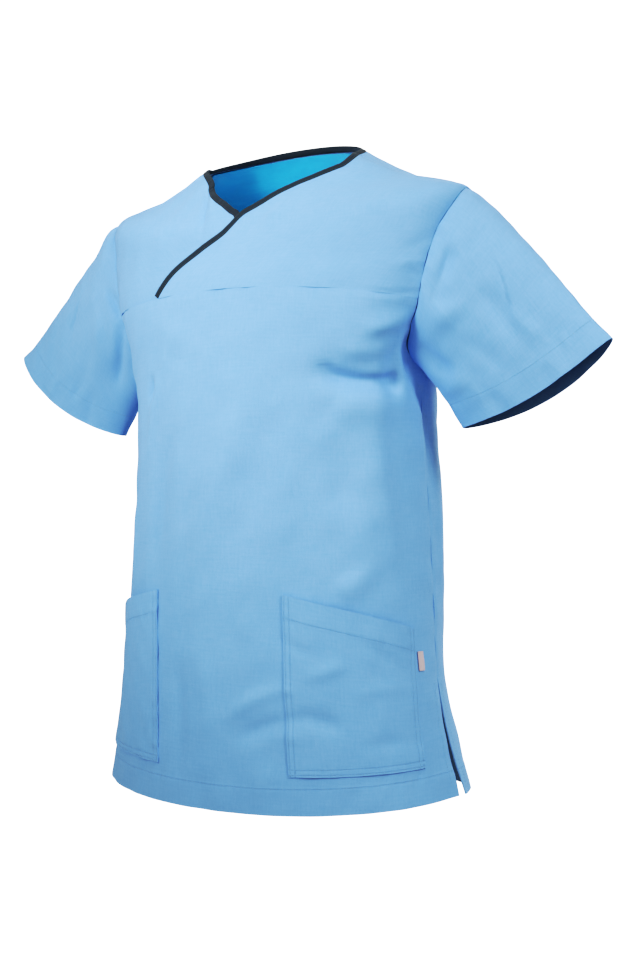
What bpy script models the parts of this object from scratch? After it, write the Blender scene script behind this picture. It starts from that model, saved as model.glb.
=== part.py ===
"""Work blouse: a short-sleeved tunic with a crossover neck, filled out as when it is worn.

Metres, +Z up. The wearer faces -Y and the wearer's left is +X. The origin lies midway
between the two ends of the shoulder seams at the neck.

The body's cloth is one smooth form through the rings below. A place on it is an angle and
a level: the angle is 0 at the centre front, 90 on the wearer's left side and 180 at the
centre back, and a level is a ring's number, counted up from the hem. Each cut piece is a
patch of that form, its own edges half a seam gap short of its neighbours.
"""
import math
from collections import namedtuple

import bpy
import numpy as np

# ---- Cloth and sewing -----------------------------------------------------------------
WALL = 0.0014             # the cloth, with its seam allowances pressed flat behind it
HALF_GAP = 0.00020        # each piece stops this far short of a seam line
RIDGE_GAP = 0.0004        # or this far, where the cloth bends over at the seam
SKEW_GAP = 0.0003         # or this far, where the grid meets the seam at a slant
LAP = 0.0006              # what lies on a panel is this far off it
INSIDE_LAP = 0.0014       # and what lies inside one
BINDING_WIDTH = 0.008
BINDING_THICKNESS = 0.0020
UNDER_DEPTH = 0.0031      # how far the under yoke lies behind the over yoke
WELD_DISTANCE = 0.00005
FACING_WALL = 0.0012
LABEL_WALL = 0.0010

# ---- The form, ring by ring -----------------------------------------------------------
# front_full and back_full fill a ring out between its middle and its sides, and back_rise says
# how sharply its back climbs towards the middle.
Ring = namedtuple("Ring", "name front_z side_z back_z half_width front_y side_y back_y "
                          "front_full back_full back_rise")
RINGS = (
    Ring("hem",      -0.729, -0.718, -0.7315, 0.216,  -0.150,  0.006,  0.148,  0.04, 0.04, 2.0),
    Ring("slit top", -0.590, -0.590, -0.590,  0.199,  -0.144,  0.006,  0.142,  0.04, 0.04, 2.0),
    Ring("waist",    -0.460, -0.460, -0.460,  0.190,  -0.137,  0.006,  0.136,  0.04, 0.04, 2.0),
    Ring("ribs",     -0.340, -0.340, -0.340,  0.184,  -0.131,  0.004,  0.131,  0.04, 0.04, 2.0),
    Ring("underarm", -0.245, -0.245, -0.245,  0.188,  -0.127,  0.002,  0.128,  0.05, 0.05, 2.0),
    Ring("chest",    -0.158, -0.178, -0.162,  0.212,  -0.118,  0.004,  0.124,  0.07, 0.07, 2.0),
    Ring("upper",    -0.116, -0.102, -0.085,  0.2295, -0.106,  0.010,  0.112,  0.06, 0.06, 2.0),
    Ring("shoulder", -0.092, -0.048, -0.030,  0.2315, -0.098,  0.0125, 0.098,  0.04, 0.04, 2.0),
    Ring("slope",    -0.076, -0.0265, 0.002,  0.162,  -0.090,  0.006,  0.084,  0.00, 0.02, 1.5),
    Ring("neck",     -0.054,  0.000,  0.0265, 0.1035, -0.080, -0.005,  0.072, -0.10, 0.03, 1.0),
)
PLACE_STEPS = 901         # levels looked through for a point seen from the front
SMOOTH_STEPS = 20         # points between two given points of a smooth line
LEVEL = {ring.name: number for number, ring in enumerate(RINGS)}
FORM = np.array([ring[1:] for ring in RINGS])
SIDE_ANGLE = 90.0
BACK_ANGLE = 180.0

# ---- Armholes, yoke seam, slits -------------------------------------------------------
ARMHOLE_FRONT = 26.5      # degrees that the armhole reaches forward of the side
ARMHOLE_BACK = 19.0
YOKE_LEVEL = LEVEL["chest"]
SlitRow = namedtuple("SlitRow", "level front back")
SLIT = (                  # degrees that the two slit edges have parted from the side line
    SlitRow(0.0, 2.5, 1.5),
    SlitRow(0.4, 4.5, 1.5),
    SlitRow(0.8, 6.0, 1.0),
    SlitRow(1.0, 0.0, 0.0),
)
FLARE_FRONT = 0.009       # how far each edge swings out at the hem
FLARE_BACK = 0.013
FLARE_SPREAD = 24.0

# ---- The neck edge of the yokes, from the neck point down to the yoke seam -------------
EdgePoint = namedtuple("EdgePoint", "x z")
OVER_EDGE = (
    EdgePoint(0.1085, -0.0155),
    EdgePoint(0.1020, -0.0220),
    EdgePoint(0.0815, -0.0320),
    EdgePoint(0.0580, -0.0415),
    EdgePoint(0.0355, -0.0520),
    EdgePoint(0.0140, -0.0655),
    EdgePoint(-0.0025, -0.0755),
    EdgePoint(-0.0180, -0.0945),
    EdgePoint(-0.0455, -0.1125),
    EdgePoint(-0.0820, -0.1405),
    EdgePoint(-0.0975, -0.1630),
)
UNDER_EDGE = (            # its x is counted to the wearer's right
    EdgePoint(0.0840, -0.0215),
    EdgePoint(0.0770, -0.0315),
    EdgePoint(0.0665, -0.0410),
    EdgePoint(0.0515, -0.0500),
    EdgePoint(0.0360, -0.0580),
    EdgePoint(0.0225, -0.0665),
    EdgePoint(0.0125, -0.0735),
    EdgePoint(-0.0230, -0.0980),
    EdgePoint(-0.0820, -0.1405),
    EdgePoint(-0.0975, -0.1630),
)
SHOULDER_STEP = 0.05      # levels along the shoulder seam that give its direction
EDGE_STEPS = 60           # steps along the wrap edge when a depth is read from it
COVER_FULL = 5.0          # degrees past the wrap edge where the under yoke still lies deep
COVER_FADE = 18.0         # and over which it comes up to the form

# ---- Pockets and label tab: corners seen from the front --------------------------------
Pocket = namedtuple("Pocket", "name top_in_x top_in_z top_out_x top_out_z "
                              "low_out_x low_out_z low_in_x low_in_z")
POCKETS = (
    Pocket("pocket_left", 0.075, -0.493, 0.186, -0.532, 0.200, -0.681, 0.088, -0.686),
    Pocket("pocket_right", -0.090, -0.494, -0.187, -0.530, -0.199, -0.680, -0.077, -0.686),
)
POCKET_STAND = 0.0035     # how far a pocket's mouth stands off the body at its middle
LABEL_TOP_Z = -0.557
LABEL_HEIGHT = 0.021
LABEL_WIDTH_ANGLE = 3.2
LABEL_GAP_ANGLE = 0.5

# ---- Back neck facing -------------------------------------------------------------------
FACING_DEPTH = 2.7        # levels down at the centre back
FACING_END_DEPTH = 0.35
FACING_EDGE = 0.02        # levels that it stops below the neck edge
FACING_ROUNDNESS = 1.4    # 1 is a sine's curve, and more is more pointed

# ---- Sleeves ----------------------------------------------------------------------------
Cuff = namedtuple("Cuff", "name side top_out top_z low_out low_z cap_out cap_z reach_out reach_z")
CUFFS = (
    Cuff("sleeve_left", 1, 0.396, -0.222, 0.2265, -0.313, 0.131, -0.078, 0.155, -0.154),
    Cuff("sleeve_right", -1, 0.4045, -0.207, 0.2425, -0.314, 0.190, -0.118, 0.145, -0.104),
)
CUFF_Y = 0.010
CUFF_HALF_DEPTH = 0.027
CUFF_BULGE = 0.0155       # the hem's middle hangs lower than its two ends
# How strongly the sleeve heads out of the armhole and into the cuff along the arm's underside;
# cap_out, cap_z, reach_out and reach_z say it for the top.
LEAVE_LOW = (0.035, 0.000, -0.070)
REACH_LOW = (0.040, 0.000, -0.075)

# ---- Largest folds: the middle, how far they spread and reach, their lean and height ----
Fold = namedtuple("Fold", "name angle level spread reach lean height")
BODY_FOLDS = (
    Fold("left armpit hollow", 64.0, 4.00, 5.0, 0.45, -4.0, -0.0080),
    Fold("left armpit bulge", 47.0, 4.45, 11.0, 0.45, 0.0, 0.0050),
    Fold("left armpit crescent", 40.0, 3.88, 14.0, 0.20, 0.0, -0.0045),
    Fold("left side drape", 56.0, 2.90, 7.0, 1.10, 5.0, 0.0035),
    Fold("right armpit hollow", -66.0, 4.15, 6.0, 0.45, 4.0, -0.0060),
    Fold("centre drape", -4.0, 2.20, 9.0, 1.60, 2.0, 0.0040),
    Fold("right drape", -30.0, 2.60, 7.0, 1.40, -2.0, -0.0035),
    Fold("left drape", 24.0, 1.90, 8.0, 1.30, 3.0, -0.0035),
    Fold("back left drape", 150.0, 2.30, 10.0, 1.50, 4.0, 0.0045),
    Fold("back right drape", -148.0, 2.00, 9.0, 1.40, -5.0, 0.0045),
    Fold("back hollow", 178.0, 3.00, 12.0, 1.20, 0.0, -0.0060),
    Fold("back left armpit", 116.0, 4.05, 6.0, 0.50, 4.0, -0.0060),
    Fold("back right armpit", -116.0, 4.05, 6.0, 0.50, -4.0, -0.0060),
    Fold("left flank swell", 112.0, 2.60, 16.0, 0.54, 0.0, 0.0042),
    Fold("left slit hollow", 110.0, 1.00, 18.0, 0.46, 0.0, -0.0065),
)
SleeveFold = namedtuple("SleeveFold", "name around along spread reach lean height")
SLEEVE_FOLDS = {
    "sleeve_left": (
        SleeveFold("front drag", 60.0, 0.35, 20.0, 0.30, 25.0, -0.0040),
        SleeveFold("cap roll", 118.0, 0.25, 24.0, 0.22, 0.0, 0.0030),
        SleeveFold("back drag", 300.0, 0.40, 22.0, 0.32, -20.0, -0.0045),
    ),
    "sleeve_right": (
        SleeveFold("front drag", 52.0, 0.40, 18.0, 0.34, 20.0, -0.0055),
        SleeveFold("cap roll", 112.0, 0.22, 26.0, 0.20, 0.0, 0.0025),
        SleeveFold("back drag", 296.0, 0.42, 22.0, 0.30, -20.0, -0.0040),
        SleeveFold("cap puff", 165.0, 0.05, 31.0, 0.10, 0.0, 0.0170),
    ),
}

# ---- How finely each piece is divided ----------------------------------------------------
BODY_COLUMNS = 26
SLIT_ROWS = 5
SIDE_ROWS = 9
ARM_LOW_ROWS = 5          # armhole rows below the yoke seam
YOKE_ROWS = 18            # above it in front, and along the neck edge
ARM_BACK_ROWS = 12        # and all the way up at the back
YOKE_COLUMNS = 14
SHOULDER_ROWS = 5
SLEEVE_ROWS = 8
POCKET_COLUMNS = 11
POCKET_ROWS = 12
BINDING_COLUMNS = 2
NECK_STEPS = BODY_COLUMNS # in step with the back's own columns
FACING_COLUMNS = BODY_COLUMNS - 2
FACING_ROWS = 8
LABEL_ROWS = 3

Cloth = namedtuple("Cloth", "name color roughness")
OUTER = Cloth("light blue twill", (0.33, 0.57, 0.78, 1.0), 0.85)
EDGING = Cloth("navy binding", (0.027, 0.037, 0.058, 1.0), 0.80)
NECK_KNIT = Cloth("turquoise knit", (0.012, 0.27, 0.56, 1.0), 0.80)
TAB = Cloth("label tape", (0.62, 0.50, 0.55, 1.0), 0.70)


# ---- The form ---------------------------------------------------------------------------
def through_rings(level):
    """The ring's sizes at any level: a smooth curve through the table's rows."""
    level = np.clip(np.asarray(level, dtype=float), 0.0, len(FORM) - 1.0)
    below = np.minimum(level.astype(int), len(FORM) - 2)
    part = (level - below)[..., None]
    start, end = FORM[below], FORM[below + 1]
    before = np.where((below == 0)[..., None], 2 * start - end, FORM[np.maximum(below - 1, 0)])
    last = (below == len(FORM) - 2)[..., None]
    after = np.where(last, 2 * end - start, FORM[np.minimum(below + 2, len(FORM) - 1)])
    return 0.5 * (2 * start + (end - before) * part
                  + (2 * before - 5 * start + 4 * end - after) * part ** 2
                  + (3 * start - before - 3 * end + after) * part ** 3)


def bare_form(angle, level):
    """The form without its folds."""
    sizes = np.moveaxis(through_rings(level), -1, 0)
    front_z, side_z, back_z, half_width, front_y, side_y, back_y = sizes[:7]
    front_full, back_full, back_rise = sizes[7:]
    turn = np.radians(angle)
    across, along = np.sin(turn), np.cos(turn)
    forward = along > 0
    swell = 1.0 + np.where(forward, front_full, back_full) * np.sin(2 * turn) ** 2
    y = side_y + np.where(forward, front_y - side_y, back_y - side_y) * np.abs(along) * swell
    to_front = (front_z - side_z) * along ** 2
    to_back = (back_z - side_z) * np.abs(along) ** back_rise
    z = side_z + np.where(forward, to_front, to_back)
    return np.stack([half_width * across * swell, y, z], axis=-1)


def form_normal(angle, level):
    """The outward direction of the form."""
    small_turn, small_rise = 0.5, 0.02
    low = np.clip(level - small_rise, 0.0, len(FORM) - 1.0)
    high = np.clip(level + small_rise, 0.0, len(FORM) - 1.0)
    around = bare_form(angle + small_turn, level) - bare_form(angle - small_turn, level)
    up = bare_form(angle, high) - bare_form(angle, low)
    outward = np.cross(around, up)
    return outward / np.linalg.norm(outward, axis=-1, keepdims=True)


def soft_bump(along, across):
    return np.exp(-along ** 2 - across ** 2)


def turn_between(angle, middle):
    """Degrees from the middle to the angle, the short way round."""
    return (angle - middle + BACK_ANGLE) % (2 * BACK_ANGLE) - BACK_ANGLE


def fold_height(angle, level):
    """How far the folds and the parted slit edges lift the cloth off the form."""
    height = np.zeros(np.broadcast(angle, level).shape)
    for fold in BODY_FOLDS:
        middle = fold.angle + fold.lean * (level - fold.level)
        across = turn_between(angle, middle) / fold.spread
        height = height + fold.height * soft_bump((level - fold.level) / fold.reach, across)
    below_slit = np.clip(LEVEL["slit top"] - level, 0.0, 1.0) ** 2
    past_side = (np.abs(turn_between(angle, 0.0)) - SIDE_ANGLE) / FLARE_SPREAD
    swing = np.where(past_side > 0, FLARE_BACK, FLARE_FRONT)
    return height + swing * below_slit * np.exp(-past_side ** 2)


def cloth(angle, level, lift=0.0):
    """A point of the folded cloth, lifted off it along the form's outward direction."""
    angle, level = np.asarray(angle, dtype=float), np.asarray(level, dtype=float)
    height = np.asarray(fold_height(angle, level) + lift)
    return bare_form(angle, level) + form_normal(angle, level) * height[..., None]


def place(x, z):
    """The angle and level of the point of the form's front that lies at x and z."""
    levels = np.linspace(0.0, len(FORM) - 1.0, PLACE_STEPS)
    front_z, side_z, back_z, half_width = through_rings(levels).T[:4]
    across = np.clip(x / half_width, -1.0, 1.0)
    heights = side_z + (front_z - side_z) * (1.0 - across ** 2)
    level = np.interp(z, heights, levels)
    angle = np.degrees(np.arcsin(np.interp(level, levels, across)))
    return float(angle), float(level)


# ---- Seam lines, as angles and levels -----------------------------------------------------
def armhole(turn, side=1):
    """A point of an armhole: 0 under the arm, 180 at the shoulder, forward in between."""
    turn = np.radians(turn)
    reach = np.where(np.sin(turn) > 0, ARMHOLE_FRONT, ARMHOLE_BACK)
    rise = (LEVEL["shoulder"] - LEVEL["underarm"]) / 2
    angle = side * (SIDE_ANGLE - reach * np.sin(turn))
    return np.stack([angle, LEVEL["underarm"] + rise * (1 - np.cos(turn))], axis=-1)


def armhole_turn(level):
    """The turn at which the armhole passes a level."""
    rise = (LEVEL["shoulder"] - LEVEL["underarm"]) / 2
    return math.degrees(math.acos(1 - (level - LEVEL["underarm"]) / rise))


def smooth_line(points, steps):
    """An even line of steps + 1 points through a few points."""
    points = np.array(points, dtype=float)
    padded = np.vstack([2 * points[0] - points[1], points, 2 * points[-1] - points[-2]])
    part = np.linspace(0.0, 1.0, SMOOTH_STEPS, endpoint=False)[:, None]
    fine = []
    for before, start, end, after in zip(padded, padded[1:], padded[2:], padded[3:]):
        fine.append(0.5 * (2 * start + (end - before) * part
                           + (2 * before - 5 * start + 4 * end - after) * part ** 2
                           + (3 * start - before - 3 * end + after) * part ** 3))
    fine = np.vstack(fine + [points[-1:]])
    places = cloth(fine[:, 0], fine[:, 1])
    run = np.concatenate([[0.0], np.cumsum(np.linalg.norm(np.diff(places, axis=0), axis=1))])
    even = np.linspace(0.0, run[-1], steps + 1)
    return np.stack([np.interp(even, run, fine[:, 0]), np.interp(even, run, fine[:, 1])], axis=-1)


def wrap_edge(steps, side=1):
    """The over yoke's neck edge up from the yoke seam, or the under yoke's with side -1."""
    edge_points = OVER_EDGE if side > 0 else UNDER_EDGE
    points = [(SIDE_ANGLE, LEVEL["neck"])]
    points += [place(point.x, point.z) for point in edge_points]
    points[-1] = (points[-1][0], YOKE_LEVEL)
    line = smooth_line(points, steps)[::-1]
    return line * np.array([side, 1.0])


def under_lift(angle, level):
    """How deep the under yoke lies: full behind the over yoke, none at its own armhole."""
    edge = wrap_edge(EDGE_STEPS)
    edge = edge[:edge[:, 1].argmax() + 1]             # as far as it climbs
    edge_angle = np.interp(level, edge[:, 1], edge[:, 0])
    clear = (edge_angle - angle - COVER_FULL) / COVER_FADE
    fade = np.clip(clear, 0.0, 1.0)
    return -UNDER_DEPTH * (1.0 - fade * fade * (3 - 2 * fade))


# ---- Patches --------------------------------------------------------------------------------
def between(low, high, left, right):
    """The grid of places between four lines of places that share their corners."""
    across = np.linspace(0.0, 1.0, len(low))[None, :, None]
    up = np.linspace(0.0, 1.0, len(left))[:, None, None]
    ruled_up = (1 - up) * low[None] + up * high[None]
    ruled_across = (1 - across) * left[:, None] + across * right[:, None]
    corners = ((1 - up) * ((1 - across) * low[0] + across * low[-1])
               + up * ((1 - across) * high[0] + across * high[-1]))
    return ruled_up + ruled_across - corners


def drawn_in(points, low=0.0, high=0.0, left=0.0, right=0.0):
    """Move a grid's edges in by the given gaps, along the grid's own lines."""
    points = points.copy()
    for gap, edge, inner in ((low, np.s_[0], np.s_[1]), (high, np.s_[-1], np.s_[-2]),
                             (left, np.s_[:, 0], np.s_[:, 1]), (right, np.s_[:, -1], np.s_[:, -2])):
        step = points[inner] - points[edge]
        points[edge] = points[edge] + gap * step / np.linalg.norm(step, axis=-1, keepdims=True)
    return points


# ---- Building ---------------------------------------------------------------------------------
def clear_scene():
    for item in list(bpy.data.objects):
        bpy.data.objects.remove(item, do_unlink=True)


def cloth_material(cloth_kind):
    """One Principled material for each kind of cloth, made on its first use."""
    material = bpy.data.materials.get(cloth_kind.name)
    if material is None:
        material = bpy.data.materials.new(cloth_kind.name)
        material.use_nodes = True
        shader = material.node_tree.nodes["Principled BSDF"]
        shader.inputs["Base Color"].default_value = cloth_kind.color
        shader.inputs["Roughness"].default_value = cloth_kind.roughness
    return material


def shell(name, points, cloth_kind, wall=WALL, tube=False, middle=False):
    """A cloth wall on a grid of points whose rows run up and whose columns run round."""
    rows, columns = points.shape[0] - 1, points.shape[1] - 1
    bpy.ops.mesh.primitive_grid_add(x_subdivisions=columns, y_subdivisions=rows, size=2.0)
    piece = bpy.context.object
    piece.name = piece.data.name = name
    for vertex in piece.data.vertices:
        column = round((vertex.co.x + 1) / 2 * columns)
        row = round((vertex.co.y + 1) / 2 * rows)
        vertex.co = points[row, column]
    if tube:
        weld = piece.modifiers.new("close the tube", "WELD")
        weld.merge_threshold = WELD_DISTANCE
    thicken = piece.modifiers.new("wall", "SOLIDIFY")
    thicken.thickness = wall
    thicken.offset = 0.0 if middle else -1.0
    piece.data.materials.append(cloth_material(cloth_kind))
    piece.data.shade_smooth()
    for holder in list(piece.users_collection):
        holder.objects.unlink(piece)
    bpy.data.collections["work_blouse"].objects.link(piece)
    return piece


def body_rows(armhole_turns, top_level):
    """The levels of a body panel's rows: slit, side seam, armhole and shoulder seam."""
    slit = np.linspace(LEVEL["hem"], LEVEL["slit top"], SLIT_ROWS + 1)
    seam = np.linspace(LEVEL["slit top"], LEVEL["underarm"], SIDE_ROWS + 1)[1:]
    arm = armhole(armhole_turns[1:])[:, 1]
    shoulder = []
    if top_level > LEVEL["shoulder"]:
        shoulder = np.linspace(LEVEL["shoulder"], top_level, SHOULDER_ROWS + 1)[1:]
    return np.concatenate([slit, seam, arm, shoulder])


def side_edge(levels, reach, parting):
    """Degrees from the side to a panel's edge: the slit, the seam, the armhole, the shoulder."""
    low, high = LEVEL["underarm"], LEVEL["shoulder"]
    on_armhole = (levels > low) & (levels < high)
    rise = (high - low) / 2
    depth = np.sqrt(np.clip(1 - (1 - (levels - low) / rise) ** 2, 0.0, 1.0))
    slit = np.interp(levels, [row.level for row in SLIT], parting)
    return np.where(on_armhole, reach * depth, slit)


def low_front_turns():
    return np.linspace(0.0, armhole_turn(YOKE_LEVEL), ARM_LOW_ROWS + 1)


def yoke_turns():
    return np.linspace(armhole_turn(YOKE_LEVEL), BACK_ANGLE, YOKE_ROWS + 1)


def back_turns():
    return np.linspace(0.0, BACK_ANGLE, ARM_BACK_ROWS + 1)


def front_body():
    """The front below the yoke seam, from slit edge and side seam to armhole."""
    levels = body_rows(low_front_turns(), YOKE_LEVEL)
    edge = SIDE_ANGLE - side_edge(levels, ARMHOLE_FRONT, [row.front for row in SLIT])
    across = np.linspace(-1.0, 1.0, BODY_COLUMNS + 1)
    points = cloth(edge[:, None] * across, np.repeat(levels[:, None], len(across), axis=1))
    points = drawn_in(points, high=HALF_GAP, left=HALF_GAP, right=HALF_GAP)
    shell("front_body", points, OUTER)


def back_body():
    """The whole back, up to the shoulder seams and the neck binding."""
    levels = body_rows(back_turns(), LEVEL["neck"])
    edge = SIDE_ANGLE - side_edge(levels, ARMHOLE_BACK, [row.back for row in SLIT])
    across = np.linspace(-1.0, 1.0, BODY_COLUMNS + 1)
    angles = BACK_ANGLE + edge[:, None] * across
    points = cloth(angles, np.repeat(levels[:, None], len(across), axis=1))
    side_gap = np.where(levels > LEVEL["upper"], RIDGE_GAP, HALF_GAP)[:, None]
    points = drawn_in(points, high=HALF_GAP, left=side_gap, right=side_gap)
    shell("back_body", points, OUTER)


def yoke(name, side, lift):
    """One half of the front yoke: yoke seam, armhole, shoulder seam and neck edge."""
    neck_edge = wrap_edge(YOKE_ROWS, side) * np.array([side, 1.0])
    arm_edge = armhole(yoke_turns())
    part = np.linspace(0.0, 1.0, YOKE_COLUMNS + 1)[:, None]
    low = (1 - part) * neck_edge[0] + part * arm_edge[0]
    high = (1 - part) * neck_edge[-1] + part * arm_edge[-1]
    places = between(low, high, neck_edge, arm_edge)
    angle, level = side * places[..., 0], places[..., 1]
    points = cloth(angle, level, lift(angle, level))
    if side < 0:
        points = points[:, ::-1]
    neck_side, arm_side = ("left", "right") if side > 0 else ("right", "left")
    gaps = {"low": SKEW_GAP, "high": RIDGE_GAP, neck_side: HALF_GAP, arm_side: HALF_GAP}
    shell(name, drawn_in(points, **gaps), OUTER)


def binding(name, places, lift, outward):
    """A bound edge: a strip that stands out past a line of places, in the cloth's own surface."""
    angle, level = places[:, 0], places[:, 1]
    line = cloth(angle, level, lift(angle, level) - WALL / 2)
    along = np.gradient(line, axis=0)
    along /= np.linalg.norm(along, axis=-1, keepdims=True)
    past = np.cross(along, form_normal(angle, level)) * outward
    at_side = np.isclose(np.abs(turn_between(angle, 0.0)), SIDE_ANGLE)
    at_shoulder = at_side & np.isclose(level, LEVEL["neck"])
    up_shoulder = bare_form(angle, level) - bare_form(angle, level - SHOULDER_STEP)
    past = np.where(at_shoulder[:, None], up_shoulder, past)
    past /= np.linalg.norm(past, axis=-1, keepdims=True)
    widths = np.linspace(SKEW_GAP, BINDING_WIDTH, BINDING_COLUMNS + 1)
    points = line[:, None] + past[:, None] * widths[None, :, None]
    points = drawn_in(points, low=SKEW_GAP, high=SKEW_GAP)
    if outward > 0:
        points = points[:, ::-1]
    shell(name, points, EDGING, wall=BINDING_THICKNESS, middle=True)


def flat(angle, level):
    return np.zeros(np.broadcast(angle, level).shape)


def pocket(row):
    """A patch pocket, sewn on by its sides and lower edge, its slanted mouth just open."""
    top_in, top_out = place(row.top_in_x, row.top_in_z), place(row.top_out_x, row.top_out_z)
    low_in, low_out = place(row.low_in_x, row.low_in_z), place(row.low_out_x, row.low_out_z)
    part = np.linspace(0.0, 1.0, POCKET_COLUMNS + 1)[:, None]
    up = np.linspace(0.0, 1.0, POCKET_ROWS + 1)[:, None]
    low = (1 - part) * low_in + part * low_out
    high = (1 - part) * top_in + part * top_out
    left = (1 - up) * low_in + up * top_in
    right = (1 - up) * low_out + up * top_out
    places = between(low, high, left, right)
    across, rise = part[None, :, 0], up
    stand = POCKET_STAND * np.sin(math.pi * across) * rise ** 3
    points = cloth(places[..., 0], places[..., 1], WALL + LAP + stand)
    if row.top_in_x < 0:
        points = points[:, ::-1]
    shell(row.name, points, OUTER)


def label_tab():
    """A folded tape held in the outer seam of the left pocket."""
    pocket_row = POCKETS[0]
    run = pocket_row.top_out_z - pocket_row.low_out_z
    zs = np.linspace(LABEL_TOP_Z - LABEL_HEIGHT, LABEL_TOP_Z, LABEL_ROWS + 1)
    part = (pocket_row.top_out_z - zs) / run
    xs = pocket_row.top_out_x + part * (pocket_row.low_out_x - pocket_row.top_out_x)
    places = np.array([place(x, z) for x, z in zip(xs, zs)])
    offsets = LABEL_GAP_ANGLE + np.linspace(0.0, LABEL_WIDTH_ANGLE, 3)
    angles = places[:, :1] + offsets[None]
    levels = np.repeat(places[:, 1:], len(offsets), axis=1)
    points = cloth(angles, levels, LABEL_WALL + LAP)
    shell("label_tab", points, TAB, wall=LABEL_WALL)


def back_neck_facing():
    """The contrast knit that lines the back of the neck, a half moon."""
    part = np.linspace(0.0, 1.0, FACING_COLUMNS + 1)
    end = BACK_ANGLE / BODY_COLUMNS
    angles = SIDE_ANGLE + end + part * 2 * (SIDE_ANGLE - end)
    arch = np.sin(math.pi * part) ** FACING_ROUNDNESS
    depth = FACING_END_DEPTH + (FACING_DEPTH - FACING_END_DEPTH) * arch
    up = np.linspace(0.0, 1.0, FACING_ROWS + 1)[:, None]
    levels = LEVEL["neck"] - FACING_EDGE - depth * (1 - up)
    points = cloth(np.repeat(angles[None], len(up), axis=0), levels, -WALL - INSIDE_LAP)
    shell("back_neck_facing", points, NECK_KNIT, wall=FACING_WALL)


def sleeve(cuff):
    """A short sleeve from its armhole to a wide cuff, hanging clear of the body."""
    side = cuff.side
    down_back = 2 * BACK_ANGLE - back_turns()[::-1]
    turns = np.concatenate([low_front_turns(), yoke_turns()[1:], down_back[1:]])
    places = armhole(turns, side)
    start = cloth(places[:, 0], places[:, 1])
    rise = ((1 - np.cos(np.radians(turns))) / 2)[:, None]
    forward = np.sin(np.radians(turns))[:, None]
    mirror = np.array([side, 1.0, 1.0])
    cuff_low = np.array([cuff.low_out, CUFF_Y, cuff.low_z])
    span = np.array([cuff.top_out, CUFF_Y, cuff.top_z]) - cuff_low
    hang = np.array([span[2], 0.0, -span[0]]) / math.hypot(span[0], span[2])
    end = cuff_low + span * rise + hang * CUFF_BULGE * forward ** 2
    end[:, 1] -= CUFF_HALF_DEPTH * forward[:, 0]
    end = end * mirror
    leave_top = np.array([cuff.cap_out, 0.0, cuff.cap_z])
    reach_top = np.array([cuff.reach_out, 0.0, cuff.reach_z])
    leave = ((1 - rise) * np.array(LEAVE_LOW) + rise * leave_top) * mirror
    reach = ((1 - rise) * np.array(REACH_LOW) + rise * reach_top) * mirror
    along = np.linspace(0.0, 1.0, SLEEVE_ROWS + 1)[:, None, None]
    points = ((2 * along ** 3 - 3 * along ** 2 + 1) * start
              + (along ** 3 - 2 * along ** 2 + along) * leave
              + (3 * along ** 2 - 2 * along ** 3) * end
              + (along ** 3 - along ** 2) * reach)
    around = np.gradient(points, axis=1)
    around[:, 0] = around[:, -1] = points[:, 1] - points[:, -2]
    outward = np.cross(np.gradient(points, axis=0), around) * side
    outward /= np.linalg.norm(outward, axis=-1, keepdims=True)
    height = np.zeros(points.shape[:2])
    for fold in SLEEVE_FOLDS[cuff.name]:
        middle = fold.around + fold.lean * (along[..., 0] - fold.along)
        across = turn_between(turns[None], middle) / fold.spread
        height += fold.height * soft_bump((along[..., 0] - fold.along) / fold.reach, across)
    height = height * np.sqrt(np.sin(math.pi * along[..., 0]))
    points = points + outward * height[..., None]
    points = drawn_in(points, low=RIDGE_GAP)
    if side > 0:
        points = points[:, ::-1]
    shell(cuff.name, points, OUTER, tube=True)


def build():
    clear_scene()
    group = bpy.data.collections.new("work_blouse")
    bpy.context.scene.collection.children.link(group)
    front_body()
    back_body()
    yoke("front_yoke_left", 1, flat)
    yoke("front_yoke_right", -1, under_lift)
    for cuff in CUFFS:
        sleeve(cuff)
    neck_turn = np.linspace(SIDE_ANGLE, SIDE_ANGLE + BACK_ANGLE, NECK_STEPS + 1)
    back_edge = np.stack([neck_turn, np.full(len(neck_turn), float(LEVEL["neck"]))], axis=-1)
    binding("binding_back_neck", back_edge, flat, -1)
    binding("binding_wrap", wrap_edge(YOKE_ROWS), flat, -1)
    binding("binding_under", wrap_edge(YOKE_ROWS, side=-1), under_lift, 1)
    for row in POCKETS:
        pocket(row)
    label_tab()
    back_neck_facing()


build()
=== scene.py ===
"""The looks of a short-sleeved work blouse with a crossover neck, filled out as when worn.

Metres, +Z up. The wearer faces -Y and the wearer's left is +X. Every cut piece is a thin
shell of cloth on the same smooth form as its solid: a place on the body is an angle
(0 centre front, 90 the wearer's left side, 180 centre back) and a level (a ring's number,
counted up from the hem), and a place on a sleeve is a turn round the arm (0 underneath,
90 in front, 180 on top) and a share of the way from armhole to cuff. Creases are laid on
from the tables, and each piece is sewn along its own edges.
"""
import math
from collections import namedtuple

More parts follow.
